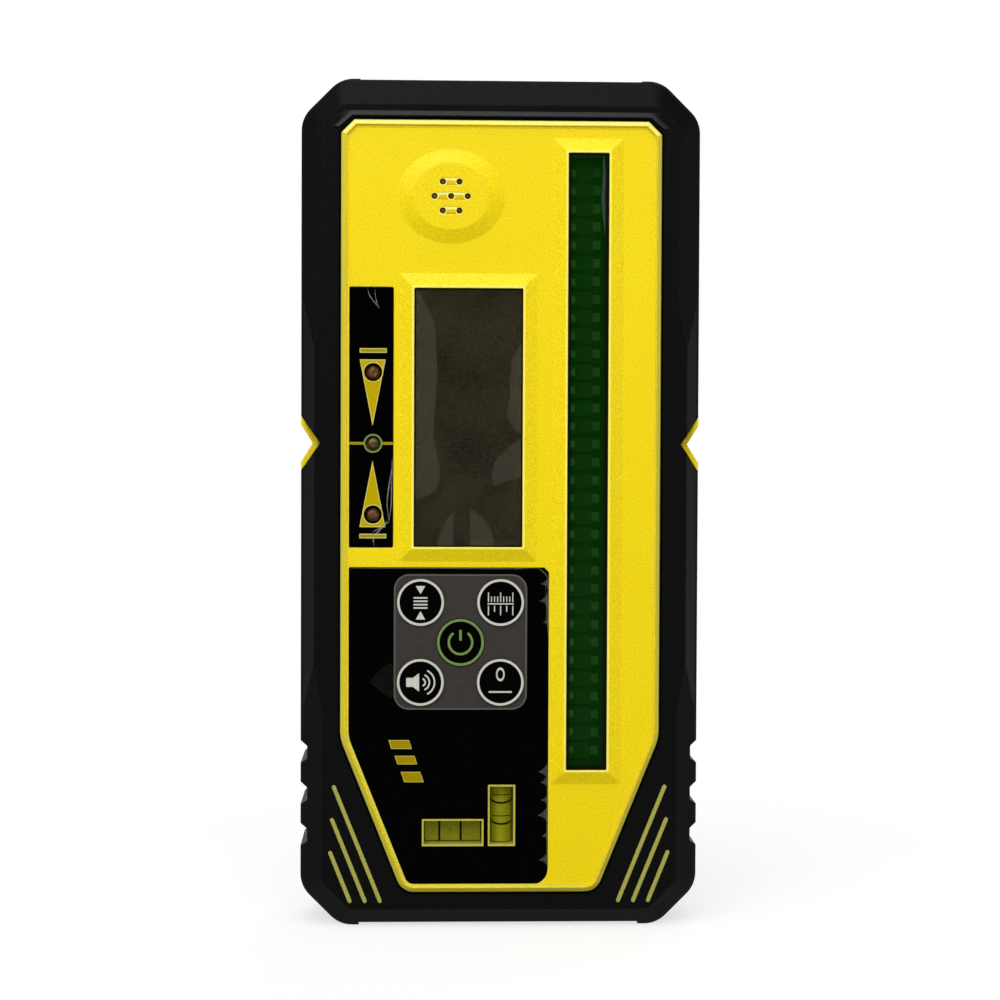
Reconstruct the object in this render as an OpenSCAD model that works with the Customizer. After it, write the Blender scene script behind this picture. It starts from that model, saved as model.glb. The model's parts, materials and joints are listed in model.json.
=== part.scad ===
// Laser receiver: a hand-held detector that finds the height of a turning laser beam.
// It stands upright on its corner feet with the panel facing -Y and the width along X.
// Depths are measured from the front plane, which the window frames touch, towards +Y.
// Heights are measured from the feet.

/* [Body] */
// Width over the rubber bumpers
body_w = 79; // [76:0.5:86]
// Height from the feet to the top corners
body_h = 168; // [163:1:182]
// Depth from the window frames to the back
body_d = 28; // [27.5:0.5:34]
// Depth of the front half, down to the parting face
front_half_d = 15; // [14:0.5:17]
// Leg of the corner cuts in the outline
corner_cut = 7.8; // [6:0.1:9]
// Rounding of the outline's corners
corner_r = 6; // [3:0.5:8]
// Wall of both casing halves
wall_t = 2; // [1.6:0.1:2.4]

/* [Bumper] */
// Rubber on the sides of the casing
bumper_side_t = 3; // [2.4:0.1:3.6]
// Rubber in front of the casing's flange
bumper_front_t = 2.1; // [1.6:0.1:2.8]
// Width of the side bevel at the two ends
bevel_end_w = 4.4; // [3.6:0.1:5.2]
// Width of the side bevel along the waist
bevel_waist_w = 2.7; // [2:0.1:3.4]
// Depth that the bevel falls to the side wall
bevel_drop = 3.1; // [2:0.1:4]
// Height of the bevel along the foot
bevel_foot_h = 3.7; // [2.8:0.1:4.4]
// Width of the notch mouths at the zero mark
notch_mouth = 10.9; // [9:0.1:12]
// Depth of the notches at the zero mark
notch_depth = 3.9; // [3.2:0.1:4.4]
// Rise of the middle over the corner feet
foot_rise = 0.6; // [0.3:0.1:1]
// Number of grip grooves on a side
groove_count = 3; // [2:1:4]
// Pitch of the grip grooves
groove_pitch = 8.25; // [7:0.05:9]
// Mouth of a grip groove
groove_mouth = 4.5; // [3.5:0.1:5]
// Depth of a grip groove
groove_depth = 1.35; // [0.8:0.05:1.8]

/* [Panel] */
// Black frame beside the panel
frame_side_w = 7.9; // [7.2:0.1:9]
// Black frame above the panel
frame_top_w = 8.4; // [7.8:0.1:10]
// Black frame below the panel
frame_foot_w = 7.15; // [6:0.05:8]
// Height of the panel's tapered foot
taper_h = 30.5; // [26:0.5:34]
// Wall of the panel
panel_t = 2; // [1.8:0.1:2.4]
// Width of the panel's bevelled rim
rim_w = 1; // [0.7:0.05:1.3]
// Height of the rim over the panel
rim_h = 0.4; // [0.2:0.05:0.6]

/* [Windows] */
// Panel edge to the display window
display_edge = 14.45; // [14:0.05:16]
// Panel top to the display window
display_top = 33.05; // [30:0.05:38]
// Strip between the display's frame and the detector's frame
display_gap = 3; // [1.5:0.1:5]
// Width of the detector window
detector_w = 8.05; // [6.5:0.05:9]
// Panel edge to the detector window
detector_edge = 10.5; // [9:0.05:11.5]
// Panel top to the detector window
detector_top = 6.4; // [5.5:0.1:9]
// Panel foot to the detector window
detector_foot = 24.4; // [23:0.1:30]
// Width of the frames round the windows
bezel_w = 2.9; // [2.2:0.1:3.2]
// Height of the frames over the panel
bezel_h = 1; // [0.7:0.05:1.4]
// Pitch of the photodiodes
diode_pitch = 3.6; // [3.3:0.05:5]

/* [Speaker] */
// Width of the speaker boss
speaker_w = 21.3; // [17:0.1:23]
// Height of the speaker boss
speaker_h = 18.5; // [15:0.1:20]
// Panel edge to the middle of the speaker
speaker_edge = 21.6; // [20:0.1:24]
// Panel top to the middle of the speaker
speaker_drop = 15.1; // [14:0.1:17]
// Diameter of a speaker hole
speaker_hole_d = 1.2; // [0.6:0.1:1.4]

/* [Lamps and keys] */
// Height of the zero line over the feet
zero_rise = 96; // [92:0.5:98]
// Pitch of the three lamps
lamp_pitch = 14; // [12:0.5:16]
// Diameter of a lamp
lamp_d = 3; // [2.6:0.1:3.4]
// Diameter of a key
key_d = 9.4; // [8:0.1:10]
// Pitch of the outer keys
key_pitch = 15.8; // [14.5:0.1:17]
// Travel of a key
key_travel = 0.5; // [0.3:0.05:0.6]

/* [Vials] */
// Diameter of a spirit vial
vial_d = 4.2; // [3.4:0.1:4.4]
// Length of a spirit vial
vial_l = 11; // [9:0.1:12]
// Height of the vials over the panel's foot
vial_rise = 9.2; // [8:0.1:10]

/* [Battery] */
// Diameter of an AA cell
cell_d = 14.2; // [13.5:0.1:14.5]
// Length of an AA cell
cell_l = 50.2; // [49:0.1:51]
// Height of the battery bay over the feet
bay_rise = 15; // [14.5:0.1:18]
// Thickness of the battery door
door_t = 1.5; // [1.2:0.1:1.8]

/* [Mount] */
// Bore of the clamp thread (a quarter inch screw)
thread_d = 5.1; // [4.2:0.1:6.6]
// Depth of the clamp thread
thread_l = 9; // [6:0.5:10]

/* [Hidden] */

// General
round_fn = 64;
arc_steps = 6;
overrun = 1;
hull_skin = 0.01;
fit = 0.05;
half_w = body_w / 2;

// Depths from the front plane
floor_d = bezel_h;
crest_d = floor_d - rim_h;
frame_sink = 0.5;
plateau_d = floor_d + frame_sink;
rim_foot = 0.1;
rim_foot_d = plateau_d + rim_foot;
panel_back_d = floor_d + panel_t;
flange_d = plateau_d + bumper_front_t;
flange_back_d = flange_d + wall_t;
shelf_sink = 0.9;
shelf_d = plateau_d + shelf_sink;
edge_d = plateau_d + bevel_drop;
edge_soft = 0.5;

// Outline of the receiver and of the casing inside the rubber
casing_half_w = half_w - bumper_side_t;
inner_half_w = casing_half_w - wall_t;

// Slopes of the front bumper
plateau_half_w = half_w - bevel_end_w;
waist_half_w = half_w - bevel_waist_w;
plateau_foot_cut = 5.5;
plateau_top_cut = 4.2;
plateau_r = 3;
lip_top_w = 7.7;
lip_foot_w = 6.6;
shelf_top_w = 5.3;
shelf_top_cut = 5;
shelf_share = shelf_sink / bevel_drop;
shelf_half_w = plateau_half_w + (half_w - edge_soft - plateau_half_w) * shelf_share;
shelf_foot_h = bevel_foot_h + (edge_soft - bevel_foot_h) * shelf_share;
shelf_foot_cut = plateau_foot_cut + (corner_cut - plateau_foot_cut) * shelf_share;
lip_cut = 4.9;
waist_low_rise = 43.4;
waist_ease = 9;
waist_top_drop = 44;
top_rise = 0.2;
step_half_w = 27.9;
groove_low_rise = 18.15;
groove_floor_share = 0.56;
groove_r = 0.4;

// Panel
panel_half_w = half_w - frame_side_w;
panel_top = body_h - frame_top_w;
panel_foot = frame_foot_w;
panel_cut = 2.6;
panel_cut_r = 0.6;
panel_foot_r = 3.5;
panel_taper_r = 9;
taper_share = 0.389;
taper_w = panel_half_w * taper_share;
rim_land = 0.15;
panel_floor_inset = rim_w + rim_land;

// Zero mark
zero_z = zero_rise;
ear_mouth = 7.4;
ear_depth = 2.3;
ear_sink = 0.2;

// Ribs that stand through the bumper
rib_count = 3;
rib_w = 0.8;
rib_edge = 9.9;
rib_low_x = half_w - rib_edge;
rib_low_z = 5.45;
rib_pitch = 2.98;
rib_first_l = 10.3;
rib_step_l = 7.05;
rib_proud = 0.2;
rib_gap = 0.08;
rib_tilt = atan(taper_w / taper_h);

// Windows
window_sink = 0.35;
window_gap = 0.05;
bezel_land = 0.35;
bezel_embed = 0.3;
bezel_r = 0.3;
display_r = 0.3;
display_window_t = 1.5;
display_ledge = 1.2;
detector_right = panel_half_w - detector_edge;
detector_frame_left = detector_right - detector_w - bezel_w;
detector_x = detector_right - detector_w / 2;
detector_high = panel_top - detector_top;
detector_low = panel_foot + detector_foot;
detector_window_t = 1.8;
detector_ledge = 0.5;
display_below = 20.35;
display_left = display_edge - panel_half_w;
display_w = detector_frame_left - display_gap - bezel_w - display_left;
display_low = zero_z - display_below;
display_h = panel_top - display_top - display_low;
display_z = display_low + display_h / 2;

// Labels
label_margin = 1.6;
label_sink = 0.45;
label_t = 0.3;
label_gap = 0.06;
label_seat_d = floor_d + label_sink;
label_front_d = label_seat_d - label_t;
label_left = label_margin - panel_half_w;
lamp_label_w = 8.8;
lamp_label_below = 6.5;
lamp_label_above = 16.7;
label_corner_r = 0.4;
keypad_gap = 1.2;
keypad_side_gap = 0.6;
keypad_cut = 0.9;
keypad_foot_r = 3;
keypad_top = display_low - bezel_w - keypad_gap;
keypad_right = detector_frame_left - keypad_side_gap;

// Lamps
lamp_edge = 6.4;
lamp_x = lamp_edge - panel_half_w;
lamp_hole_gap = 0.12;
lamp_proud = 0.1;
lamp_flange_r = 1.9;
lamp_flange_t = 0.7;
lamp_back_d = 5;

// Keys and their switches
key_span = key_pitch + key_d;
key_room_share = 0.665;
key_left = label_left + (keypad_right - label_left - key_span) * key_room_share;
key_group_drop = 14.75;
key_group_x = key_left + key_span / 2;
key_group_z = keypad_top - key_group_drop;
key_place_shares = [[-0.5, 0.5], [0.5, 0.5], [0, 0], [-0.5, -0.5], [0.5, -0.5]];
key_gap = 0.15;
key_proud = 0.4;
key_cap_t = 0.7;
key_edge_r = 0.2;
key_front_d = label_front_d - key_proud;
key_back_d = key_front_d + key_cap_t;
key_pocket_gap = 0.15;
key_pocket_d = key_back_d + key_travel + key_pocket_gap;
key_stem_r = 2.4;
key_stem_gap = 0.25;
switch_w = 6;
switch_t = 3.1;
switch_r = 0.4;
plunger_r = 1.75;
plunger_gap = 0.1;
plunger_proud = 0.8;
plunger_hold = 0.4;
plunger_floor = 0.3;

// Main board behind the panel
board_room = 6;
board_t = 1.5;
board_d = panel_back_d + board_room;
board_back_d = board_d + board_t;
board_gap = 0.3;

// Battery bay, measured from its door; on a thinner case the bay stands out of the back
door_sink = 0.1;
cell_gap = 0.2;
bay_floor_t = 1;
bay_wall_t = 1.2;
bay_d = bay_floor_t + cell_d + 2 * cell_gap + door_t + door_sink;
bay_back_d = max(body_d, board_back_d + board_gap + bay_d);
ledge_d = bay_back_d - door_sink - door_t;
bay_floor_d = ledge_d - cell_d - 2 * cell_gap;
bay_front_d = bay_floor_d - bay_floor_t;
bay_half_w = cell_d + 1.5 * cell_gap;
cell_axis_d = ledge_d - cell_gap - cell_d / 2;
cell_axis_x = cell_d / 2 + cell_gap / 2;
contact_t = 0.3;
spring_l = 4.5;
bay_low = bay_rise;
bay_l = 2 * contact_t + spring_l + cell_l;
bay_top = bay_low + bay_l;
ledge_w = 2.85;
door_gap = 0.2;
door_half_w = bay_half_w + ledge_w;
door_top = bay_top + ledge_w;
door_low = bay_low - ledge_w - door_gap;
door_r = 1.5;
hinge_r = 1.7;
hinge_d = bay_back_d - door_sink - hinge_r;
hinge_rise = 2.3;
hinge_z = door_low - hinge_rise;
hinge_half_w = 12;
hinge_side_gap = 0.2;
hinge_gap = 0.5;
hinge_pin_r = 0.8;
hinge_pin_l = 1.2;
hinge_pin_gap = 0.06;
hinge_end_gap = 0.2;
door_undercut = 1;
door_foot_gap = 0.4;
door_frame_w = 1.4;
door_frame_t = 2.2;
gasket_edge = 0.8;
gasket_w = 1.2;
gasket_t = 0.8;
thumb_r = 5.5;
thumb_sink = 1.2;
thumb_groove_w = 0.8;
thumb_groove_t = 0.4;
thumb_groove_pitch = 1.8;
thumb_groove_half_w = 4.5;
thumb_groove_drop = 2.4;
thumb_groove_count = 3;

// Outline of the main board and its posts
board_side_gap = 7.2;
board_half_w = inner_half_w - board_side_gap;
board_above = 9.6;
board_below = 20.8;
speaker_x = speaker_edge - panel_half_w;
speaker_z = panel_top - speaker_drop;
board_top = speaker_z + board_above;
board_low = key_group_z - board_below;
board_r = 2;
post_inset = 3.2;
post_r = 2.2;
post_hole_r = 0.8;
board_screw_r = 0.75;
board_hole_r = 1.1;
board_head_r = 1.9;
board_head_t = 1.3;
board_screw_l = 3.6;
chip_w = 10;
chip_t = 1.2;
chip_right = 10;
chip_above = 19;

// Speaker
speaker_top_share = 0.705;
speaker_hole_pitch = 3.26;
speaker_row_pitch = 2.83;
speaker_row_counts = [2, 3, 2];
speaker_groove_w = 1.4;
speaker_groove_t = 0.5;
mesh_r = 7.2;
mesh_t = 0.25;
buzzer_r = 6;
buzzer_gap = 0.3;
buzzer_hole_r = 1;
buzzer_hole_l = 1.5;
buzzer_edge = 0.5;

// Display behind its window
display_back_margin = 1.45;
display_glass_t = 2;
display_back_d = panel_back_d + display_glass_t;
holder_wall = 1.6;
holder_r = 0.8;
contact_strip_t = 2;
contact_strip_gap = 0.1;

// Detector board
detector_board_gap = 3;
detector_board_d = panel_back_d + detector_board_gap;
detector_board_t = 1;
detector_board_w = 8.4;
detector_board_past = 2;
header_w = 2.5;
header_l = 7.4;
header_shares = [0.06, 0.5, 0.94];
diode_w = 4.1;
diode_h = 2.9;
diode_t = 1.1;
diode_shift = 0.9;
terminal_h = 1.8;
terminal_t = 0.15;
terminal_left_w = 0.8;
terminal_right_w = 1.6;
diode_span = detector_high - detector_low - diode_h;
diode_count = floor(diode_span / diode_pitch) + 1;
diode_low_z = (detector_high + detector_low - (diode_count - 1) * diode_pitch) / 2;

// Vials
vial_border = 0.34;
vial_side_gap = 0.25;
vial_wall_t = 1;
level_cover = 3.8;
plumb_cover = 2;
vial_tube_t = 0.6;
vial_bore_r = vial_d / 2 - vial_tube_t;
vial_plug_l = 0.8;
vial_well_w = vial_d + 2 * vial_side_gap;
vial_well_l = vial_l + 2 * vial_side_gap;
level_axis_d = floor_d + level_cover + vial_d / 2;
level_floor_d = level_axis_d + vial_d / 2;
plumb_axis_d = floor_d + plumb_cover + vial_d / 2;
plumb_floor_d = plumb_axis_d + vial_d / 2;
vial_pitch = 1.55;
vial_span = vial_well_l + vial_pitch + vial_well_w + 2 * vial_border;
vial_left_limit = label_left + taper_w * (1 - vial_rise / taper_h);
vial_room_share = 0.485;
vial_left = vial_left_limit + (keypad_right - vial_left_limit - vial_span) * vial_room_share;
vial_low = panel_foot + vial_rise + vial_border;
level_x = vial_left + vial_border + vial_well_l / 2;
level_z = vial_low + vial_well_w / 2;
plumb_x = level_x + vial_well_l / 2 + vial_pitch + vial_well_w / 2;
plumb_z = vial_low + vial_well_l / 2;
bubble_share = 0.62;
bubble_l = 2.2;

// Screw bosses
boss_r = 3.2;
boss_sink = 0.3;
boss_x = inner_half_w - boss_r + boss_sink;
boss_top_w = 12;
boss_foot_rise = 13;
boss_middle_drop = 10;
boss_heights = [boss_foot_rise, zero_z - boss_middle_drop, body_h - boss_top_w];
screw_r = 1.2;
screw_fit = 0.05;
screw_bite = 3.2;
screw_l = 7;
screw_tip = 0.5;
screw_head_r = 2.3;
screw_head_t = 1.8;
screw_head_gap = 0.3;
screw_cross_w = 0.6;
screw_cross_l = 2.6;
screw_cross_t = 1;
seal_inset = 0.6;
seal_w = 0.8;
seal_t = 0.8;

// Back
back_soft = 1.2;
back_soft_d = 1.6;
back_step = 1;
back_slope_w = 2;
back_slope_d = 3.5;
seat_half_w = 17;
seat_half_h = 12;
seat_t = 0.6;
seat_r = 2;
insert_r = 4.5;
insert_l = 10;
insert_boss_t = 2.6;
insert_boss_floor = 1;
insert_flange_r = 5.2;
insert_flange_t = 0.8;
dowel_r = 1.5;
dowel_l = 1.2;
dowel_x = 12;
back_d = body_d - seat_t;

// Springs
spring_wire_r = 0.3;
spring_big_r = 4.4;
spring_small_r = 3;
spring_turns = 3.5;
spring_rings = 8;
spring_sides = 6;
cell_button_r = 2.6;
cell_button_l = 1;
cell_edge_r = 0.4;

// Colours
yellow = "#F2D92A";
rubber = "#161815";
black = "#0B0C0B";
steel = "#B9BBBD";
brass = "#C9A75A";
board_green = "#1F5A33";

// Outlines are lists of corners [x, z, radius], counter-clockwise seen from the front
function flat(corner) = [corner[0], corner[1]];
function unit(v) = v / norm(v);
function turned(v) = [-v[1], v[0]];
function around(list, i) = list[(i + len(list)) % len(list)];
function step_before(outline, i) = unit(flat(around(outline, i)) - flat(around(outline, i - 1)));
function step_after(outline, i) = unit(flat(around(outline, i + 1)) - flat(around(outline, i)));
function bend(outline, i) = sign(cross(step_before(outline, i), step_after(outline, i)));
function miter(outline, i) =
    (turned(step_before(outline, i)) + turned(step_after(outline, i)))
    / (1 + step_before(outline, i) * step_after(outline, i));

// An outline moved inwards by a distance, or outwards where it is negative
function inset(outline, by) =
    [for (i = [0:len(outline) - 1])
        let (place = flat(outline[i]) + miter(outline, i) * by)
        [place[0], place[1], max(outline[i][2] - by * bend(outline, i), 0)]];

// An outline widened with its corners kept sharp
function mitred(outline, by) =
    [for (corner = inset(outline, -by)) [corner[0], corner[1], bezel_r]];

// The points of an outline with its corners rounded
function corner_arc(outline, i) =
    let (r = outline[i][2],
         side = bend(outline, i),
         centre = flat(outline[i]) + miter(outline, i) * r * side,
         out = -turned(step_before(outline, i)) * side,
         start = atan2(out[1], out[0]),
         sweep = side * acos(min(1, step_before(outline, i) * step_after(outline, i))))
    r <= 0 || side == 0
        ? [flat(outline[i])]
        : [for (k = [0:arc_steps])
            centre + r * [cos(start + sweep * k / arc_steps), sin(start + sweep * k / arc_steps)]];
function rounded(outline) = [for (i = [0:len(outline) - 1]) each corner_arc(outline, i)];

function box_outline(left, low, right, high, r) =
    [[left, low, r], [right, low, r], [right, high, r], [left, high, r]];
function cut_outline(half, low, high, low_cut, high_cut, r) =
    [[low_cut - half, low, r], [half - low_cut, low, r],
     [half, low + low_cut, r], [half, high - high_cut, r],
     [half - high_cut, high, r], [high_cut - half, high, r],
     [-half, high - high_cut, r], [-half, low + low_cut, r]];

receiver_outline = cut_outline(half_w, 0, body_h, corner_cut, corner_cut, corner_r);
casing_outline = inset(receiver_outline, bumper_side_t);
inner_outline = inset(casing_outline, wall_t);
panel_outline =
    [[taper_w - panel_half_w, panel_foot, panel_foot_r],
     [panel_half_w - taper_w, panel_foot, panel_foot_r],
     [panel_half_w, panel_foot + taper_h, panel_taper_r],
     [panel_half_w, panel_top - panel_cut, panel_cut_r],
     [panel_half_w - panel_cut, panel_top, panel_cut_r],
     [panel_cut - panel_half_w, panel_top, panel_cut_r],
     [-panel_half_w, panel_top - panel_cut, panel_cut_r],
     [-panel_half_w, panel_foot + taper_h, panel_taper_r]];
label_limit = inset(panel_outline, label_margin);
keypad_outline =
    [label_limit[0],
     [keypad_right, label_limit[0][1], keypad_foot_r],
     [keypad_right, keypad_top - keypad_cut, 0],
     [keypad_right - keypad_cut, keypad_top, 0],
     [label_left, keypad_top, label_corner_r],
     label_limit[7]];
lamp_label_outline =
    box_outline(label_left, zero_z - lamp_pitch - lamp_label_below,
                label_left + lamp_label_w, zero_z + lamp_pitch + lamp_label_above, label_corner_r);
display_outline =
    box_outline(display_left, display_z - display_h / 2,
                display_left + display_w, display_z + display_h / 2, display_r);
detector_outline =
    box_outline(detector_right - detector_w, detector_low, detector_right, detector_high, display_r);
display_back_outline = inset(display_outline, -display_back_margin);
level_outline =
    box_outline(level_x - vial_well_l / 2, level_z - vial_well_w / 2,
                level_x + vial_well_l / 2, level_z + vial_well_w / 2, 0);
plumb_outline =
    box_outline(plumb_x - vial_well_w / 2, plumb_z - vial_well_l / 2,
                plumb_x + vial_well_w / 2, plumb_z + vial_well_l / 2, 0);
board_outline = box_outline(-board_half_w, board_low, board_half_w, board_top, board_r);
bay_outline = box_outline(-bay_half_w, bay_low, bay_half_w, bay_top, 0);
door_outline = box_outline(-door_half_w, door_low, door_half_w, door_top, door_r);

// Depth to Y
function depth_y(d) = d - body_d / 2;

// A plane shape in X and Z, drawn out between two depths
module slab(from, to) {
    translate([0, depth_y(to), 0])
        rotate([90, 0, 0])
            linear_extrude(to - from)
                children();
}

module plate(outline, from, to) {
    slab(from, to) polygon(rounded(outline));
}

module ring(outer, inner, from, to) {
    difference() {
        plate(outer, from, to);
        plate(inner, from - overrun, to + overrun);
    }
}

// A sloped solid from one outline to another
module loft(low, low_d, high, high_d) {
    hull() {
        plate(low, low_d - hull_skin, low_d);
        plate(high, high_d, high_d + hull_skin);
    }
}

// A round bar along the depth
module rod(x, z, r, from, to) {
    translate([x, depth_y(to), z])
        rotate([90, 0, 0])
            cylinder(r = r, h = to - from, $fn = round_fn);
}

// A round bar across the width
module axle(z, d, r, from, to) {
    translate([from, depth_y(d), z])
        rotate([0, 90, 0])
            cylinder(r = r, h = to - from, $fn = round_fn);
}

// A round bar along the height
module pillar(x, d, r, from, to) {
    translate([x, depth_y(d), from])
        cylinder(r = r, h = to - from, $fn = round_fn);
}

// A plane shape in depth and height, drawn out along X
module beam(points, from, to) {
    translate([from, 0, 0])
        rotate([90, 0, 90])
            linear_extrude(to - from)
                polygon([for (point = points) [depth_y(point[0]), point[1]]]);
}

module both_sides() {
    children();
    mirror([1, 0, 0]) children();
}

module at_bosses() {
    for (height = boss_heights)
        both_sides()
            translate([boss_x, 0, height])
                children();
}

module at_posts() {
    for (height = [board_low + post_inset, board_top - post_inset])
        both_sides()
            translate([board_half_w - post_inset, 0, height])
                children();
}

function key_x(i) = key_group_x + key_place_shares[i][0] * key_pitch;
function key_z(i) = key_group_z + key_place_shares[i][1] * key_pitch;
key_ids = [0:len(key_place_shares) - 1];
lamp_heights = [zero_z + lamp_pitch, zero_z, zero_z - lamp_pitch];

// A rib of the lower corner, or with a gap the slot round it; rib 0 is the outermost
function rib_outline(i, gap) =
    let (length = rib_first_l + i * rib_step_l,
         along = [sin(rib_tilt), cos(rib_tilt)],
         across = [along[1], -along[0]],
         foot = [rib_low_x - i * rib_pitch, rib_low_z],
         half = rib_w / 2 + gap,
         low = foot - along * half,
         high = foot + along * (length + half))
    [for (p = [low - across * half, low + across * half, high + across * half, high - across * half])
        [p[0], p[1], half]];

module ribs(gap, from, to) {
    both_sides()
        for (i = [0:rib_count - 1])
            plate(rib_outline(i, gap), from, to);
}

// The notch at the zero mark
module notch(mouth, depth, from, to) {
    both_sides()
        slab(from, to)
            polygon([[half_w - depth, zero_z],
                     [half_w + overrun, zero_z - mouth / 2 * (depth + overrun) / depth],
                     [half_w + overrun, zero_z + mouth / 2 * (depth + overrun) / depth]]);
}

function groove_outline(z) =
    [[half_w + overrun, z - groove_mouth / 2, 0],
     [half_w + overrun, z + groove_mouth / 2, 0],
     [half_w, z + groove_mouth / 2, 0],
     [half_w - groove_depth, z + groove_mouth * groove_floor_share / 2, groove_r],
     [half_w - groove_depth, z - groove_mouth * groove_floor_share / 2, groove_r],
     [half_w, z - groove_mouth / 2, 0]];

// What is cut out of the edge of both bumpers
module edge_cuts(from, to) {
    both_sides()
        for (i = [0:groove_count - 1])
            plate(groove_outline(groove_low_rise + i * groove_pitch), from, to);
    plate(box_outline(-step_half_w, -overrun, step_half_w, foot_rise, 0), from, to);
    plate(box_outline(-step_half_w, body_h - top_rise, step_half_w, body_h + overrun, 0), from, to);
}

// The raised frame round a window, with mitred corners
module bezel(outline) {
    hull() {
        plate(mitred(outline, bezel_w), floor_d, floor_d + bezel_embed);
        plate(mitred(outline, bezel_land), 0, hull_skin);
    }
}

module window_opening(outline, thickness, ledge) {
    plate(outline, -overrun, window_sink + thickness);
    plate(inset(outline, ledge), 0, panel_back_d + overrun);
}

module speaker_boss() {
    hull() {
        translate([speaker_x, 0, speaker_z])
            slab(floor_d, floor_d + bezel_embed)
                scale([speaker_w / 2, speaker_h / 2])
                    circle(r = 1, $fn = round_fn);
        translate([speaker_x, 0, speaker_z])
            slab(0, hull_skin)
                scale([speaker_w / 2 * speaker_top_share, speaker_h / 2 * speaker_top_share])
                    circle(r = 1, $fn = round_fn);
    }
}

module speaker_holes() {
    for (row = [0:len(speaker_row_counts) - 1]) {
        count = speaker_row_counts[row];
        z = speaker_z + (row - 1) * speaker_row_pitch;
        reach = (count - 1) * speaker_hole_pitch / 2;
        plate(box_outline(speaker_x - reach - speaker_groove_w / 2, z - speaker_groove_w / 2,
                          speaker_x + reach + speaker_groove_w / 2, z + speaker_groove_w / 2,
                          speaker_groove_w / 2),
              -overrun, speaker_groove_t);
        for (i = [0:count - 1])
            rod(speaker_x - reach + i * speaker_hole_pitch, z, speaker_hole_d / 2,
                -overrun, panel_back_d + overrun);
    }
}

// The yellow front half: panel, flange under the rubber, skirt, ears and ribs
module front_casing() {
    color(yellow)
    difference() {
        union() {
            difference() {
                union() {
                    plate(panel_outline, rim_foot_d, flange_back_d);
                    loft(panel_outline, rim_foot_d + hull_skin, inset(panel_outline, rim_w), crest_d);
                    plate(casing_outline, flange_d, flange_back_d);
                }
                plate(inset(panel_outline, panel_floor_inset), 0, floor_d);
                plate(inset(panel_outline, wall_t), panel_back_d, flange_back_d + overrun);
            }
            ring(casing_outline, inner_outline, flange_d, front_half_d);
            bezel(display_outline);
            bezel(detector_outline);
            speaker_boss();
            ribs(0, plateau_d - rib_proud, flange_d + wall_t / 2);
            zero_ears();
            at_bosses() rod(0, 0, boss_r, flange_d + wall_t / 2, front_half_d);
            at_posts() rod(0, 0, post_r, panel_back_d - panel_t / 2, board_d);
            plate(inset(level_outline, -vial_wall_t), panel_back_d - panel_t / 2,
                  level_floor_d + vial_wall_t);
            plate(inset(plumb_outline, -vial_wall_t), panel_back_d - panel_t / 2,
                  plumb_floor_d + vial_wall_t);
        }
        window_opening(display_outline, display_window_t, display_ledge);
        window_opening(detector_outline, detector_window_t, detector_ledge);
        speaker_holes();
        label_seats();
        for (i = key_ids) {
            rod(key_x(i), key_z(i), key_d / 2 + key_gap, 0, key_pocket_d);
            rod(key_x(i), key_z(i), key_stem_r + key_stem_gap, 0, panel_back_d + overrun);
        }
        for (height = lamp_heights)
            rod(lamp_x, height, lamp_d / 2 + lamp_hole_gap, 0, panel_back_d + overrun);
        plate(level_outline, 0, level_floor_d);
        plate(plumb_outline, 0, plumb_floor_d);
        at_bosses() rod(0, 0, screw_r + screw_fit, front_half_d - screw_l - screw_tip,
                        front_half_d + overrun);
        at_posts() rod(0, 0, post_hole_r, board_d - board_screw_l, board_d + overrun);
        ring(inset(casing_outline, seal_inset), inset(casing_outline, seal_inset + seal_w),
             front_half_d - seal_t, front_half_d + overrun);
    }
}

// The casing's V-shaped ears that show inside the rubber's notches
module zero_ears() {
    both_sides()
        slab(edge_d + ear_sink, front_half_d)
            polygon([[half_w, zero_z + notch_mouth / 2 - fit],
                     [half_w - notch_depth + fit, zero_z],
                     [half_w, zero_z - notch_mouth / 2 + fit],
                     [half_w, zero_z - ear_mouth / 2],
                     [half_w - ear_depth, zero_z],
                     [half_w, zero_z + ear_mouth / 2]]);
}

// The seats of the two labels, with the lips round the vials left standing
module label_seats() {
    plate(inset(lamp_label_outline, -label_gap), 0, label_seat_d);
    difference() {
        plate(inset(keypad_outline, -label_gap), 0, label_seat_d);
        for (outline = [level_outline, plumb_outline])
            plate(inset(outline, -vial_border), label_front_d, label_seat_d + overrun);
    }
}

// The black rubber round the front half
module front_bumper() {
    color(rubber)
    difference() {
        union() {
            hull() {
                plate(receiver_outline, edge_d + edge_soft, front_half_d);
                plate(inset(receiver_outline, edge_soft), edge_d, edge_d + edge_soft);
                plate(cut_outline(shelf_half_w, shelf_foot_h, body_h - shelf_top_w,
                                  shelf_foot_cut, shelf_top_cut, plateau_r),
                      shelf_d, shelf_d + hull_skin);
            }
            loft(cut_outline(shelf_half_w, shelf_foot_h, body_h - lip_foot_w,
                             shelf_foot_cut, lip_cut, plateau_r),
                 shelf_d + hull_skin,
                 cut_outline(plateau_half_w, bevel_foot_h, body_h - lip_top_w,
                             plateau_foot_cut, plateau_top_cut, plateau_r),
                 plateau_d);
            bumper_waist();
        }
        plate(inset(panel_outline, -fit), 0, flange_d + overrun);
        plate(inset(casing_outline, -fit), flange_d, front_half_d + overrun);
        ribs(rib_gap, 0, flange_d + overrun);
        notch(notch_mouth, notch_depth, 0, front_half_d + overrun);
        edge_cuts(0, front_half_d + overrun);
    }
}

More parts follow.
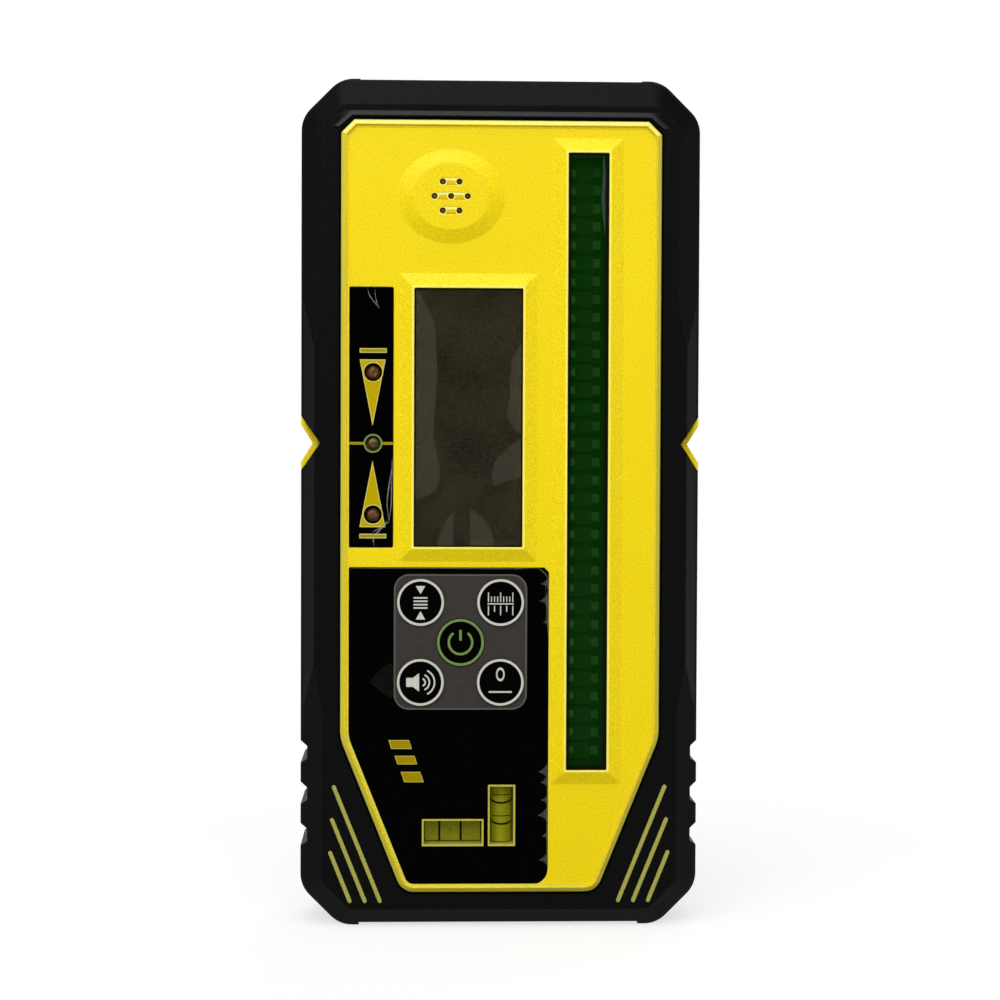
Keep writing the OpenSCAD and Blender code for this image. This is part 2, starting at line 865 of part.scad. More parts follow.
// The waist, where the side bevel is narrower
module bumper_waist() {
    low = waist_low_rise;
    high = body_h - waist_top_drop;
    hull() {
        plate(box_outline(edge_soft - half_w, low, half_w - edge_soft, high, 0),
              edge_d, edge_d + hull_skin);
        slab(plateau_d, plateau_d + hull_skin)
            polygon([[-plateau_half_w, low], [plateau_half_w, low],
                     [waist_half_w, low + waist_ease], [waist_half_w, high - waist_ease],
                     [plateau_half_w, high], [-plateau_half_w, high],
                     [-waist_half_w, high - waist_ease], [-waist_half_w, low + waist_ease]]);
    }
}

// The black rear half with the battery bay, the clamp seat and the screw wells
module rear_casing() {
    color(black)
    difference() {
        union() {
            difference() {
                hull() {
                    plate(casing_outline, front_half_d, body_d - back_soft_d);
                    plate(inset(casing_outline, back_soft), body_d - hull_skin, body_d);
                }
                plate(inner_outline, front_half_d - overrun, body_d - wall_t);
            }
            at_bosses() rod(0, 0, boss_r, front_half_d, body_d - wall_t / 2);
            rod(0, zero_z, insert_r + insert_boss_t, back_d - insert_l - insert_boss_floor,
                body_d - wall_t / 2);
            plate(inset(bay_outline, -bay_wall_t), bay_front_d, bay_back_d - wall_t / 2);
            plate(box_outline(-door_half_w - door_frame_w, hinge_z - hinge_r - hinge_gap - door_frame_w,
                              door_half_w + door_frame_w, door_top + door_frame_w, door_r),
                  hinge_d - hinge_r - hinge_gap - door_frame_t / 2, bay_back_d);
        }
        plate(bay_outline, bay_floor_d, bay_back_d + overrun);
        plate(inset(door_outline, -door_gap), ledge_d, bay_back_d + overrun);
        plate(box_outline(-door_half_w - door_gap, door_low - door_foot_gap,
                          door_half_w + door_gap, door_low + door_r, 0),
              ledge_d, bay_back_d + overrun);
        plate(box_outline(-hinge_half_w - hinge_side_gap, hinge_z - hinge_r - hinge_gap,
                          hinge_half_w + hinge_side_gap, door_low, 0),
              hinge_d - hinge_r - hinge_gap / 2, bay_back_d + overrun);
        axle(hinge_z, hinge_d, hinge_pin_r + hinge_pin_gap,
             -hinge_half_w - hinge_pin_l - hinge_end_gap, hinge_half_w + hinge_pin_l + hinge_end_gap);
        ring(inset(bay_outline, -gasket_edge - gasket_w), inset(bay_outline, -gasket_edge),
             ledge_d - gasket_t, ledge_d + overrun);
        rod(0, door_top, thumb_r, bay_back_d - thumb_sink, bay_back_d + overrun);
        at_bosses() {
            rod(0, 0, screw_r + screw_fit, front_half_d - overrun, body_d);
            rod(0, 0, screw_head_r + screw_head_gap, front_half_d + screw_bite, body_d + overrun);
        }
        plate(box_outline(-seat_half_w, zero_z - seat_half_h, seat_half_w, zero_z + seat_half_h, seat_r),
              back_d, body_d + overrun);
        rod(0, zero_z, insert_r + fit, back_d - insert_l, body_d);
        rod(0, zero_z, insert_flange_r + fit, back_d - insert_flange_t, body_d);
        both_sides() rod(dowel_x, zero_z, dowel_r, back_d - dowel_l, body_d);
    }
}

// The black rubber round the rear half
module rear_bumper() {
    color(rubber)
    difference() {
        hull() {
            plate(receiver_outline, front_half_d, body_d - back_step - back_slope_d);
            plate(inset(receiver_outline, edge_soft), body_d - back_step - back_slope_d,
                  body_d - back_step - back_slope_d + edge_soft);
            plate(inset(receiver_outline, back_slope_w), body_d - back_step - hull_skin,
                  body_d - back_step);
        }
        plate(inset(casing_outline, -fit), front_half_d - overrun, body_d);
        notch(ear_mouth, ear_depth, front_half_d - overrun, body_d);
        edge_cuts(front_half_d - overrun, body_d);
    }
}

module case_seal() {
    color("#3A3A3A")
        ring(inset(casing_outline, seal_inset + fit), inset(casing_outline, seal_inset + seal_w - fit),
             front_half_d - seal_t, front_half_d);
}

module case_screws() {
    color(steel)
    at_bosses()
        difference() {
            union() {
                rod(0, 0, screw_r, front_half_d - screw_l, front_half_d + screw_bite + screw_head_t);
                rod(0, 0, screw_head_r, front_half_d + screw_bite,
                    front_half_d + screw_bite + screw_head_t);
            }
            for (turn = [0, 90])
                rotate([0, turn, 0])
                    slab(front_half_d + screw_bite + screw_head_t - screw_cross_t,
                         front_half_d + screw_bite + screw_head_t + overrun)
                        square([screw_cross_l, screw_cross_w], center = true);
        }
}

module speaker_mesh() {
    color("#202020")
        rod(speaker_x, speaker_z, mesh_r, panel_back_d, panel_back_d + mesh_t);
}

module buzzer() {
    color("#151515")
    translate([speaker_x, depth_y(board_d), speaker_z])
        rotate([90, 0, 0])
            rotate_extrude($fn = round_fn) {
                height = board_d - panel_back_d - mesh_t - buzzer_gap;
                polygon([[0, 0], [buzzer_r, 0], [buzzer_r, height - buzzer_edge],
                         [buzzer_r - buzzer_edge, height], [buzzer_hole_r, height],
                         [buzzer_hole_r, height - buzzer_hole_l], [0, height - buzzer_hole_l]]);
            }
}

module display_window() {
    color("#4A463A", 0.6)
        plate(inset(display_outline, window_gap), window_sink, window_sink + display_window_t);
}

module display_panel() {
    color("#55543F")
        plate(display_back_outline, panel_back_d, display_back_d);
}

module display_holder() {
    color(black)
        ring(inset(display_back_outline, -holder_r), inset(display_back_outline, holder_wall),
             display_back_d, board_d);
}

module display_contacts() {
    color("#7A4A55")
    for (side = [-1, 1]) {
        half = display_w / 2 + display_back_margin - holder_wall - contact_strip_gap;
        reach = display_h / 2 + display_back_margin - holder_wall - contact_strip_gap
                - contact_strip_t / 2;
        middle = display_left + display_w / 2;
        plate(box_outline(middle - half, display_z + side * reach - contact_strip_t / 2,
                          middle + half, display_z + side * reach + contact_strip_t / 2, 0),
              display_back_d, board_d);
    }
}

module detector_window() {
    color("#0E4A12", 0.7)
        plate(inset(detector_outline, window_gap), window_sink, window_sink + detector_window_t);
}

module detector_board() {
    color(board_green)
        plate(box_outline(detector_x - detector_board_w / 2, detector_low - detector_board_past,
                          detector_x + detector_board_w / 2, detector_high + detector_board_past, 0),
              detector_board_d, detector_board_d + detector_board_t);
}

module at_diodes() {
    for (i = [0:diode_count - 1])
        translate([detector_x - diode_shift, 0, diode_low_z + i * diode_pitch])
            children();
}

module photodiodes() {
    color("#182018")
    at_diodes()
        plate(box_outline(-diode_w / 2, -diode_h / 2, diode_w / 2, diode_h / 2, 0),
              detector_board_d - diode_t, detector_board_d);
}

module photodiode_terminals() {
    color("#C9CFC6")
    at_diodes() {
        plate(box_outline(-diode_w / 2 - terminal_left_w, -terminal_h / 2, -diode_w / 2, terminal_h / 2, 0),
              detector_board_d - terminal_t, detector_board_d);
        plate(box_outline(diode_w / 2, -terminal_h / 2, diode_w / 2 + terminal_right_w, terminal_h / 2, 0),
              detector_board_d - terminal_t, detector_board_d);
    }
}

module detector_headers() {
    color(black)
    for (share = header_shares) {
        z = board_low + (board_top - board_low) * share;
        plate(box_outline(detector_x - header_l / 2, z - header_w / 2,
                          detector_x + header_l / 2, z + header_w / 2, 0),
              detector_board_d + detector_board_t, board_d);
    }
}

module main_board() {
    color(board_green)
    difference() {
        plate(board_outline, board_d, board_back_d);
        at_posts() rod(0, 0, board_hole_r, board_d - overrun, board_back_d + overrun);
    }
}

module board_screws() {
    color(steel)
    at_posts() {
        rod(0, 0, board_screw_r, board_d - board_screw_l, board_back_d);
        rod(0, 0, board_head_r, board_back_d, board_back_d + board_head_t);
    }
}

module controller_chip() {
    color("#1A1A1A")
        plate(box_outline(chip_right - chip_w / 2, zero_z + chip_above - chip_w / 2,
                          chip_right + chip_w / 2, zero_z + chip_above + chip_w / 2, 0),
              board_back_d, board_back_d + chip_t);
}

module lamp_label() {
    color(black)
    difference() {
        plate(lamp_label_outline, label_front_d, label_seat_d);
        for (height = lamp_heights)
            rod(lamp_x, height, lamp_d / 2 + lamp_hole_gap, 0, panel_back_d);
    }
}

// A round-topped lamp with its flange
module lamp(height) {
    translate([lamp_x, depth_y(lamp_back_d), height])
        rotate([90, 0, 0])
            rotate_extrude($fn = round_fn) {
                top = lamp_back_d - label_front_d + lamp_proud;
                dome = top - lamp_d / 2;
                polygon([[0, 0], [lamp_flange_r, 0], [lamp_flange_r, lamp_flange_t],
                         [lamp_d / 2, lamp_flange_t],
                         for (k = [0:arc_steps - 1])
                             [lamp_d / 2 * cos(90 * k / arc_steps),
                              dome + lamp_d / 2 * sin(90 * k / arc_steps)],
                         [0, top]]);
            }
}

module lamp_upper() { color("#8A6A58") lamp(lamp_heights[0]); }
module lamp_centre() { color("#6F7A5A") lamp(lamp_heights[1]); }
module lamp_lower() { color("#8A6A58") lamp(lamp_heights[2]); }

module lamp_spacers() {
    color(black)
    for (height = lamp_heights)
        rod(lamp_x, height, lamp_flange_r, lamp_back_d, board_d);
}

module keypad_label() {
    color(black)
    difference() {
        plate(keypad_outline, label_front_d, label_seat_d);
        for (i = key_ids)
            rod(key_x(i), key_z(i), key_d / 2 + key_gap, 0, panel_back_d);
        for (outline = [level_outline, plumb_outline])
            plate(inset(outline, -vial_border - fit), 0, panel_back_d);
    }
}

module switch_bodies() {
    color("#1B1B1B")
    for (i = key_ids)
        difference() {
            translate([key_x(i), 0, key_z(i)])
                plate(box_outline(-switch_w / 2, -switch_w / 2, switch_w / 2, switch_w / 2, switch_r),
                      board_d - switch_t, board_d);
            rod(key_x(i), key_z(i), plunger_r + plunger_gap, board_d - switch_t - overrun,
                board_d - switch_t + plunger_hold + key_travel + plunger_floor);
        }
}

// A key: a cap with a softened edge on a stem that reaches its switch
module key(i) {
    back = board_d - switch_t - plunger_proud;
    translate([key_x(i), depth_y(back), key_z(i)])
        rotate([90, 0, 0])
            rotate_extrude($fn = round_fn) {
                top = back - key_front_d;
                under = back - key_back_d;
                polygon([[0, 0], [key_stem_r, 0], [key_stem_r, under], [key_d / 2, under],
                         for (k = [0:arc_steps])
                             [key_d / 2 - key_edge_r * (1 - cos(90 * k / arc_steps)),
                              top - key_edge_r * (1 - sin(90 * k / arc_steps))],
                         [0, top]]);
            }
}

module plunger(i) {
    rod(key_x(i), key_z(i), plunger_r, board_d - switch_t - plunger_proud,
        board_d - switch_t + plunger_hold);
}

module key_bandwidth() { color(black) key(0); }
module key_units() { color(black) key(1); }
module key_power() { color(black) key(2); }
module key_volume() { color(black) key(3); }
module key_zero() { color(black) key(4); }
module plunger_bandwidth() { color("#D8D8D8") plunger(0); }
module plunger_units() { color("#D8D8D8") plunger(1); }
module plunger_power() { color("#D8D8D8") plunger(2); }
module plunger_volume() { color("#D8D8D8") plunger(3); }
module plunger_zero() { color("#D8D8D8") plunger(4); }

// The lying vial is a block that reads level, the upright one is a tube that reads plumb
module level_bar(r, half) {
    translate([level_x, 0, 0]) axle(level_z, level_axis_d, r, -half, half);
}

module plumb_bar(r, half) {
    pillar(plumb_x, plumb_axis_d, r, plumb_z - half, plumb_z + half);
}

module level_vial() {
    color("#C9CC55", 0.7)
    difference() {
        plate(inset(level_outline, vial_side_gap), level_axis_d - vial_d / 2, level_floor_d);
        level_bar(vial_bore_r, vial_l / 2 + overrun);
    }
}

module plumb_vial() {
    color("#C9CC55", 0.7)
    difference() {
        plumb_bar(vial_d / 2, vial_l / 2);
        plumb_bar(vial_bore_r, vial_l / 2 + overrun);
    }
}

// The plugs that close both ends of both vials
module vial_plugs() {
    color("#B9BC4A") {
        difference() {
            level_bar(vial_bore_r, vial_l / 2);
            level_bar(vial_d / 2, vial_l / 2 - vial_plug_l);
        }
        difference() {
            plumb_bar(vial_bore_r, vial_l / 2);
            plumb_bar(vial_d / 2, vial_l / 2 - vial_plug_l);
        }
    }
}

module bubble(x, d, z) {
    translate([x, depth_y(d), z])
        sphere(r = vial_bore_r * bubble_share, $fn = round_fn);
}

module level_spirit() {
    color("#A9B52E", 0.8)
    difference() {
        level_bar(vial_bore_r, vial_l / 2 - vial_plug_l);
        bubble(level_x, level_axis_d, level_z + vial_bore_r * (1 - bubble_share) / 2);
    }
}

module plumb_spirit() {
    color("#A9B52E", 0.8)
    difference() {
        plumb_bar(vial_bore_r, vial_l / 2 - vial_plug_l);
        bubble(plumb_x, plumb_axis_d, plumb_z + vial_l / 2 - vial_plug_l - bubble_l / 2);
    }
}

module mount_insert() {
    color(brass)
    difference() {
        union() {
            rod(0, zero_z, insert_r, back_d - insert_l, back_d);
            rod(0, zero_z, insert_flange_r, back_d - insert_flange_t, back_d);
        }
        rod(0, zero_z, thread_d / 2, back_d - thread_l, back_d + overrun);
    }
}

// A cell standing on its flat end, turned over where it points down
module cell(x, foot, up) {
    translate([x, depth_y(cell_axis_d), foot])
        mirror([0, 0, up ? 0 : 1])
            rotate_extrude($fn = round_fn)
                polygon([[0, 0], [cell_d / 2 - cell_edge_r, 0], [cell_d / 2, cell_edge_r],
                         [cell_d / 2, cell_l - cell_button_l - cell_edge_r],
                         [cell_d / 2 - cell_edge_r, cell_l - cell_button_l],
                         [cell_button_r, cell_l - cell_button_l], [cell_button_r, cell_l], [0, cell_l]]);
}

module battery_left() {
    color("#3C6E4A")
        cell(-cell_axis_x, bay_low + contact_t + spring_l, true);
}

module battery_right() {
    color("#3C6E4A")
        cell(cell_axis_x, bay_top - contact_t - spring_l, false);
}

// The springs wind from the contact plate to the flat end of a cell
function spring_point(k) =
    let (count = spring_turns * spring_rings,
         share = k / count,
         r = spring_big_r + (spring_small_r - spring_big_r) * share)
    [r * cos(360 * k / spring_rings), r * sin(360 * k / spring_rings),
     spring_wire_r + (spring_l - 2 * spring_wire_r) * share];
spring_count = spring_turns * spring_rings;
spring_line = [for (k = [0:spring_count]) spring_point(k)];
spring_gap = min([for (i = [0:spring_count - spring_rings]) for (j = [i + spring_rings / 2:spring_count])
                  norm(spring_line[i] - spring_line[j])]) - 2 * spring_wire_r;
echo(least_spring_gap = spring_gap);

function spring_ring(k) =
    let (ahead = unit(spring_line[min(k + 1, spring_count)] - spring_line[max(k - 1, 0)]),
         out = unit([spring_line[k][0], spring_line[k][1], 0]),
         side = unit(out - ahead * (out * ahead)),
         up = cross(ahead, side))
    [for (s = [0:spring_sides - 1])
        spring_line[k] + spring_wire_r * (side * cos(360 * s / spring_sides)
                                          + up * sin(360 * s / spring_sides))];

module spring() {
    points = [for (k = [0:spring_count]) each spring_ring(k)];
    last = spring_count * spring_sides;
    faces = [
        for (k = [0:spring_count - 1]) for (s = [0:spring_sides - 1])
            let (a = k * spring_sides + s, b = k * spring_sides + (s + 1) % spring_sides)
            each [[a, a + spring_sides, b], [b, a + spring_sides, b + spring_sides]],
        for (s = [1:spring_sides - 2])
            each [[0, s, s + 1], [last, last + s + 1, last + s]]];
    polyhedron(points, faces);
}

module battery_springs() {
    color(steel) {
        translate([-cell_axis_x, depth_y(cell_axis_d), bay_low + contact_t]) spring();
        translate([cell_axis_x, depth_y(cell_axis_d), bay_top - contact_t])
            mirror([0, 0, 1]) spring();
    }
}

module battery_contacts() {
    color(steel) {
        plate(box_outline(-bay_half_w + cell_gap, bay_low, bay_half_w - cell_gap, bay_low + contact_t, 0),
              bay_floor_d + cell_gap, ledge_d - cell_gap);
        both_sides()
            plate(box_outline(cell_gap, bay_top - contact_t, bay_half_w - cell_gap, bay_top, 0),
                  bay_floor_d + cell_gap, ledge_d - cell_gap);
    }
}

// The door swings on stub pins at its foot; its knuckle is round about their axis, and the
// foot beside the knuckle is undercut so that it swings clear of its recess
module battery_door() {
    color(black)
    difference() {
        union() {
            plate(door_outline, ledge_d, bay_back_d - door_sink);
            plate(box_outline(-hinge_half_w, hinge_z, hinge_half_w, door_low + door_r, 0),
                  ledge_d, bay_back_d - door_sink);
            axle(hinge_z, hinge_d, hinge_r, -hinge_half_w, hinge_half_w);
            axle(hinge_z, hinge_d, hinge_pin_r, -hinge_half_w - hinge_pin_l, hinge_half_w + hinge_pin_l);
        }
        both_sides()
            beam([[ledge_d - overrun, door_low + door_undercut], [ledge_d, door_low + door_undercut],
                  [bay_back_d - door_sink, door_low], [bay_back_d - door_sink, door_low - overrun],
                  [ledge_d - overrun, door_low - overrun]],
                 hinge_half_w, door_half_w + overrun);
        for (i = [0:thumb_groove_count - 1]) {
            z = door_top - thumb_groove_drop - i * thumb_groove_pitch;
            plate(box_outline(-thumb_groove_half_w, z - thumb_groove_w / 2,
                              thumb_groove_half_w, z + thumb_groove_w / 2, thumb_groove_w / 2),
                  bay_back_d - door_sink - thumb_groove_t, bay_back_d + overrun);
        }
    }
}

module door_gasket() {
    color("#3A3A3A")
        ring(inset(bay_outline, -gasket_edge - gasket_w + fit), inset(bay_outline, -gasket_edge - fit),
             ledge_d - gasket_t, ledge_d);
}

front_casing();
front_bumper();
rear_casing();
rear_bumper();
case_seal();
case_screws();
speaker_mesh();
buzzer();
display_window();
display_panel();
display_holder();
display_contacts();
detector_window();
detector_board();
photodiodes();
photodiode_terminals();
detector_headers();
main_board();
board_screws();
controller_chip();
lamp_label();
lamp_upper();
lamp_centre();
lamp_lower();
lamp_spacers();
keypad_label();
switch_bodies();
key_bandwidth();
key_units();
key_power();
key_volume();
key_zero();
plunger_bandwidth();
plunger_units();
plunger_power();
plunger_volume();
plunger_zero();
level_vial();
plumb_vial();
level_spirit();
plumb_spirit();
vial_plugs();
mount_insert();
battery_left();
battery_right();
battery_springs();
battery_contacts();
battery_door();
door_gasket();
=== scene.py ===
"""Laser receiver: prints, films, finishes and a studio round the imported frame.

The receiver stands on its feet with the panel facing -Y. Sizes are in millimetres
until they reach Blender, which works in metres.
"""

import json
import logging
import math
from dataclasses import dataclass, field
from enum import Enum
from typing import Any, Callable, Optional, Sequence

import bmesh
import bpy
from mathutils import Matrix, Vector

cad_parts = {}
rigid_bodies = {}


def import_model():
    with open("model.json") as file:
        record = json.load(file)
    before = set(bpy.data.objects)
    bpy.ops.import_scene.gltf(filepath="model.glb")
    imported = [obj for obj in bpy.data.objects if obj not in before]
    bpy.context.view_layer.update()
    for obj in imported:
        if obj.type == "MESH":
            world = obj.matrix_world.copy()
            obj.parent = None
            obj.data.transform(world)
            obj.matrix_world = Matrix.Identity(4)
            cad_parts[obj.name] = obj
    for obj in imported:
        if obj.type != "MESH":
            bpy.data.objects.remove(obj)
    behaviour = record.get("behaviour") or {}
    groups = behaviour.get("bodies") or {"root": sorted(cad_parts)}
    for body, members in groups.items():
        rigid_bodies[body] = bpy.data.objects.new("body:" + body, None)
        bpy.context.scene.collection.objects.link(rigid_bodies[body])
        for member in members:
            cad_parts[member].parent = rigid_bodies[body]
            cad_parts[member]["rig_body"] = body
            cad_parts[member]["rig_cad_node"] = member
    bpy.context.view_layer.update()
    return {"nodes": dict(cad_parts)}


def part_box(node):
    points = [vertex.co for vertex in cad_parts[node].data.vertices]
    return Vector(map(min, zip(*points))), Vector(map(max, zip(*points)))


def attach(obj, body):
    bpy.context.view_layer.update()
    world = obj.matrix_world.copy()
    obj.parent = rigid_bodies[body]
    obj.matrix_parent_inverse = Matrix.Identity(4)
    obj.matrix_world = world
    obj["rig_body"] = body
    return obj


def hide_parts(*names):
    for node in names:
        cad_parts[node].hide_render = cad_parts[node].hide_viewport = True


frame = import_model()

MM = 0.001
# Thickness of one coat of print or film.
INK = 0.03
# Y of the receiver's front plane.
FRONT = -14.0
# Least share of a normal that counts as facing a way.
FACING = 0.9
# Least angle of an edge that stays sharp or is rounded, in degrees.
SHARP = 35.0
# Least roughness of a finish.
GLOSSIEST = 0.02
# What Blender's wave texture multiplies its scale by.
WAVE = 20.0
# Corners nearer to each other than this are merged.
MERGE = 0.0005
# Steps round the corner of a plate, and across a softened edge.
CORNER_STEPS = 8
SOFT_STEPS = 2
KEYS = ("bandwidth", "units", "power", "volume", "zero")
LOG = logging.getLogger("receiver")

Object = bpy.types.Object
Material = bpy.types.Material
Tree = bpy.types.NodeTree
Node = bpy.types.Node
Socket = bpy.types.NodeSocket
Inputs = dict[Any, Any]
Point = tuple[float, float]
Points = tuple[Point, ...]
Span = tuple[float, float, float, float]
Test = Callable[[Vector, Vector], bool]


def linear(colour: str) -> Span:
    """Turns an sRGB hex colour to linear light.

    Args:
        colour: The colour as "#RRGGBB".

    Returns:
        Red, green, blue and a full alpha.
    """
    shares = [int(colour[i:i + 2], 16) / 255 for i in (1, 3, 5)]
    light = [s / 12.92 if s <= 0.04045 else ((s + 0.055) / 1.055) ** 2.4 for s in shares]
    return (light[0], light[1], light[2], 1.0)


def metres(*sizes: float) -> tuple[float, ...]:
    """Turns sizes in millimetres to metres."""
    return tuple(size * MM for size in sizes)


@dataclass
class Weave:
    """The nodes of a material or world, with short ways to those used most."""

    tree: Tree

    def __post_init__(self) -> None:
        """Starts from an empty tree."""
        self.tree.nodes.clear()

    def add(self, kind: str, inputs: Optional[Inputs] = None, **settings: Any) -> Node:
        """Adds a node with its settings and links.

        Args:
            kind: The node's type, without its prefix.
            inputs: For each input socket, a value to set or a socket to link.
            **settings: The node's own properties.

        Returns:
            The new node.
        """
        node = self.tree.nodes.new(f"ShaderNode{kind}")
        for name, value in settings.items():
            setattr(node, name, value)
        self.feed(node, inputs or {})
        return node

    def feed(self, node: Node, inputs: Inputs) -> None:
        """Sets or links a node's inputs.

        Args:
            node: The node.
            inputs: For each input socket, a value to set or a socket to link.
        """
        for socket, value in inputs.items():
            if isinstance(value, Socket):
                self.tree.links.new(value, node.inputs[socket])
            else:
                node.inputs[socket].default_value = value

    def place(self) -> Socket:
        """Gives Object coordinates in metres."""
        return self.add("TexCoord").outputs["Object"]

    def noise(self, size: float, detail: float = 2.0, rough: float = 0.5) -> Socket:
        """Gives noise with features of a size in millimetres."""
        return self.add("TexNoise", {"Vector": self.place(), "Scale": 1.0 / (size * MM),
                                     "Detail": detail, "Roughness": rough}).outputs[0]

    def fit(self, value: Socket, start: float = 0.0, end: float = 1.0, low: float = 0.0,
            high: float = 1.0, **settings: Any) -> Socket:
        """Fits a value from the range start to end into the range low to high."""
        return self.add("MapRange", {"Value": value, "From Min": start, "From Max": end,
                                     "To Min": low, "To Max": high}, **settings).outputs[0]

    def blend(self, share: Socket, *colours: str | Socket) -> Socket:
        """Blends two colours, each a hex code or a socket, by a share of the second."""
        ends = [linear(tone) if isinstance(tone, str) else tone for tone in colours]
        return self.add("Mix", {0: share, 6: ends[0], 7: ends[1]}, data_type="RGBA").outputs[2]

    def reckon(self, operation: str, one: Socket, other: float | Socket = 0.0) -> Socket:
        """Works out one value from two."""
        return self.add("Math", {0: one, 1: other}, operation=operation).outputs[0]

    def vector(self, operation: str, *inputs: Any) -> Any:
        """Works out a vector or a value from vectors."""
        return self.add("VectorMath", dict(enumerate(inputs)), operation=operation).outputs

    def bump(self, height: Socket, strength: float, depth: float, **more: Socket) -> Socket:
        """Gives the normal of a relief whose depth is in millimetres."""
        return self.add("Bump", {"Height": height, "Strength": strength, "Distance": depth * MM,
                                 **more}).outputs["Normal"]


@dataclass(frozen=True)
class Finish:
    """A finish: a shader with its constants, and a pattern that its subclasses add."""

    name: str
    colour: str
    roughness: float = 0.5
    metallic: float = 0.0
    ior: float = 1.5
    specular: float = 0.5
    alpha: float = 1.0
    coat: float = 0.0
    coat_roughness: float = 0.1
    glow: float = 0.0

    def material(self) -> Material:
        """Makes the material, or gives the one already made.

        Returns:
            The material.
        """
        made = bpy.data.materials.get(self.name)
        if made:
            return made
        made = bpy.data.materials.new(self.name)
        made.use_nodes = True
        made.diffuse_color = tone = linear(self.colour)
        weave = Weave(made.node_tree)
        shader = weave.add("BsdfPrincipled", {
            "Base Color": tone, "Roughness": self.roughness, "Metallic": self.metallic,
            "IOR": self.ior, "Specular IOR Level": self.specular, "Alpha": self.alpha,
            "Coat Weight": self.coat, "Coat Roughness": self.coat_roughness})
        if self.glow:
            weave.feed(shader, {"Emission Color": tone, "Emission Strength": self.glow})
        weave.feed(shader, self.pattern(weave))
        weave.add("OutputMaterial", {"Surface": shader.outputs["BSDF"]})
        return made

    def pattern(self, weave: Weave) -> Inputs:
        """Gives the shader's inputs that vary; a plain finish has none."""
        return {}

    def spread(self, by: float) -> Point:
        """Gives the least and greatest roughness for a spread of gloss."""
        return max(self.roughness - by, GLOSSIEST), self.roughness + by


@dataclass(frozen=True)
class Moulded(Finish):
    """A moulded skin: a slow drift of tone and a fine grain from the eroded tool."""

    shade: str = "#000000"
    drift_mm: float = 30.0
    fleck: str = "#000000"
    fleck_share: float = 0.0
    fleck_range: Point = (0.35, 0.7)
    grain_mm: float = 0.4
    grain_detail: Point = (3.0, 0.6)
    grain_depth: float = 0.02
    grain_strength: float = 0.3
    gloss_range: Point = (0.3, 0.7)
    gloss_spread: float = 0.08
    edge_mm: float = 0.12
    edge_highlight: str = "#000000"
    edge_highlight_share: float = 0.0
    edge_highlight_range: Point = (0.99, 0.85)

    def pattern(self, weave: Weave) -> Inputs:
        """Adds drift, flecks, grain, a spread of gloss and a painted highlight along the edges.

        Args:
            weave: The material's nodes.

        Returns:
            The shader's inputs that vary.
        """
        drift = weave.noise(self.drift_mm)
        grain = weave.noise(self.grain_mm, *self.grain_detail)
        spots = weave.fit(grain, *self.fleck_range, 0.0, self.fleck_share)
        skin = weave.blend(spots, weave.blend(drift, self.colour, self.shade), self.fleck)
        # Painted highlight: a paler tone along the edges, where the rounded normal turns away from
        # the face's.
        edges = weave.add("Bevel", {"Radius": self.edge_mm * MM}).outputs["Normal"]
        flat = weave.add("NewGeometry").outputs["Normal"]
        turned = weave.vector("DOT_PRODUCT", edges, flat)["Value"]
        edge = weave.fit(turned, *self.edge_highlight_range, 0.0, self.edge_highlight_share)
        return {"Base Color": weave.blend(weave.reckon("MULTIPLY", edge, drift), skin, self.edge_highlight),
                "Roughness": weave.fit(grain, *self.gloss_range, *self.spread(self.gloss_spread)),
                "Normal": weave.bump(grain, self.grain_strength, self.grain_depth, Normal=edges)}


@dataclass(frozen=True)
class PanelSkin(Moulded):
    """The panel's skin, with a painted highlight on its highest lands and painted shade in its
    recesses.
    """

    crest_highlight: str = "#FFFFFF"
    crest_highlight_y: Point = (-13.95, -13.99)
    boss: tuple[float, float, float] = (-10.0, 144.5, 9.0)
    recess_shade: str = "#000000"
    recess_shade_y: Point = (-12.9, -12.72)
    recess_shade_share: float = 0.8
    recess_shade_reach: float = 36.0

    def pattern(self, weave: Weave) -> Inputs:
        """Adds the painted highlight on the highest lands and the painted shade in the recesses
        over the moulded skin.

        Args:
            weave: The material's nodes.

        Returns:
            The shader's inputs that vary.
        """
        made = super().pattern(weave)
        at = weave.add("SeparateXYZ", {"Vector": weave.place()}).outputs
        x, z, reach = metres(*self.boss)
        # Painted highlight: a paler tone on the frontmost lands, away from the speaker boss.
        away = weave.vector("DISTANCE", weave.place(), (x, FRONT * MM, z))["Value"]
        high = weave.fit(at["Y"], *metres(*self.crest_highlight_y))
        land = weave.reckon("MULTIPLY", high, weave.reckon("GREATER_THAN", away, reach))
        # Painted shade: an olive tone in the recesses behind the panel's face, within reach of the
        # middle.
        low = weave.fit(at["Y"], *metres(*self.recess_shade_y), 0.0, self.recess_shade_share)
        aside = weave.reckon("ABSOLUTE", at["X"])
        recess = weave.reckon("MULTIPLY", low,
                              weave.reckon("LESS_THAN", aside, self.recess_shade_reach * MM))
        skin = weave.blend(land, made["Base Color"], self.crest_highlight)
        return made | {"Base Color": weave.blend(recess, skin, self.recess_shade)}


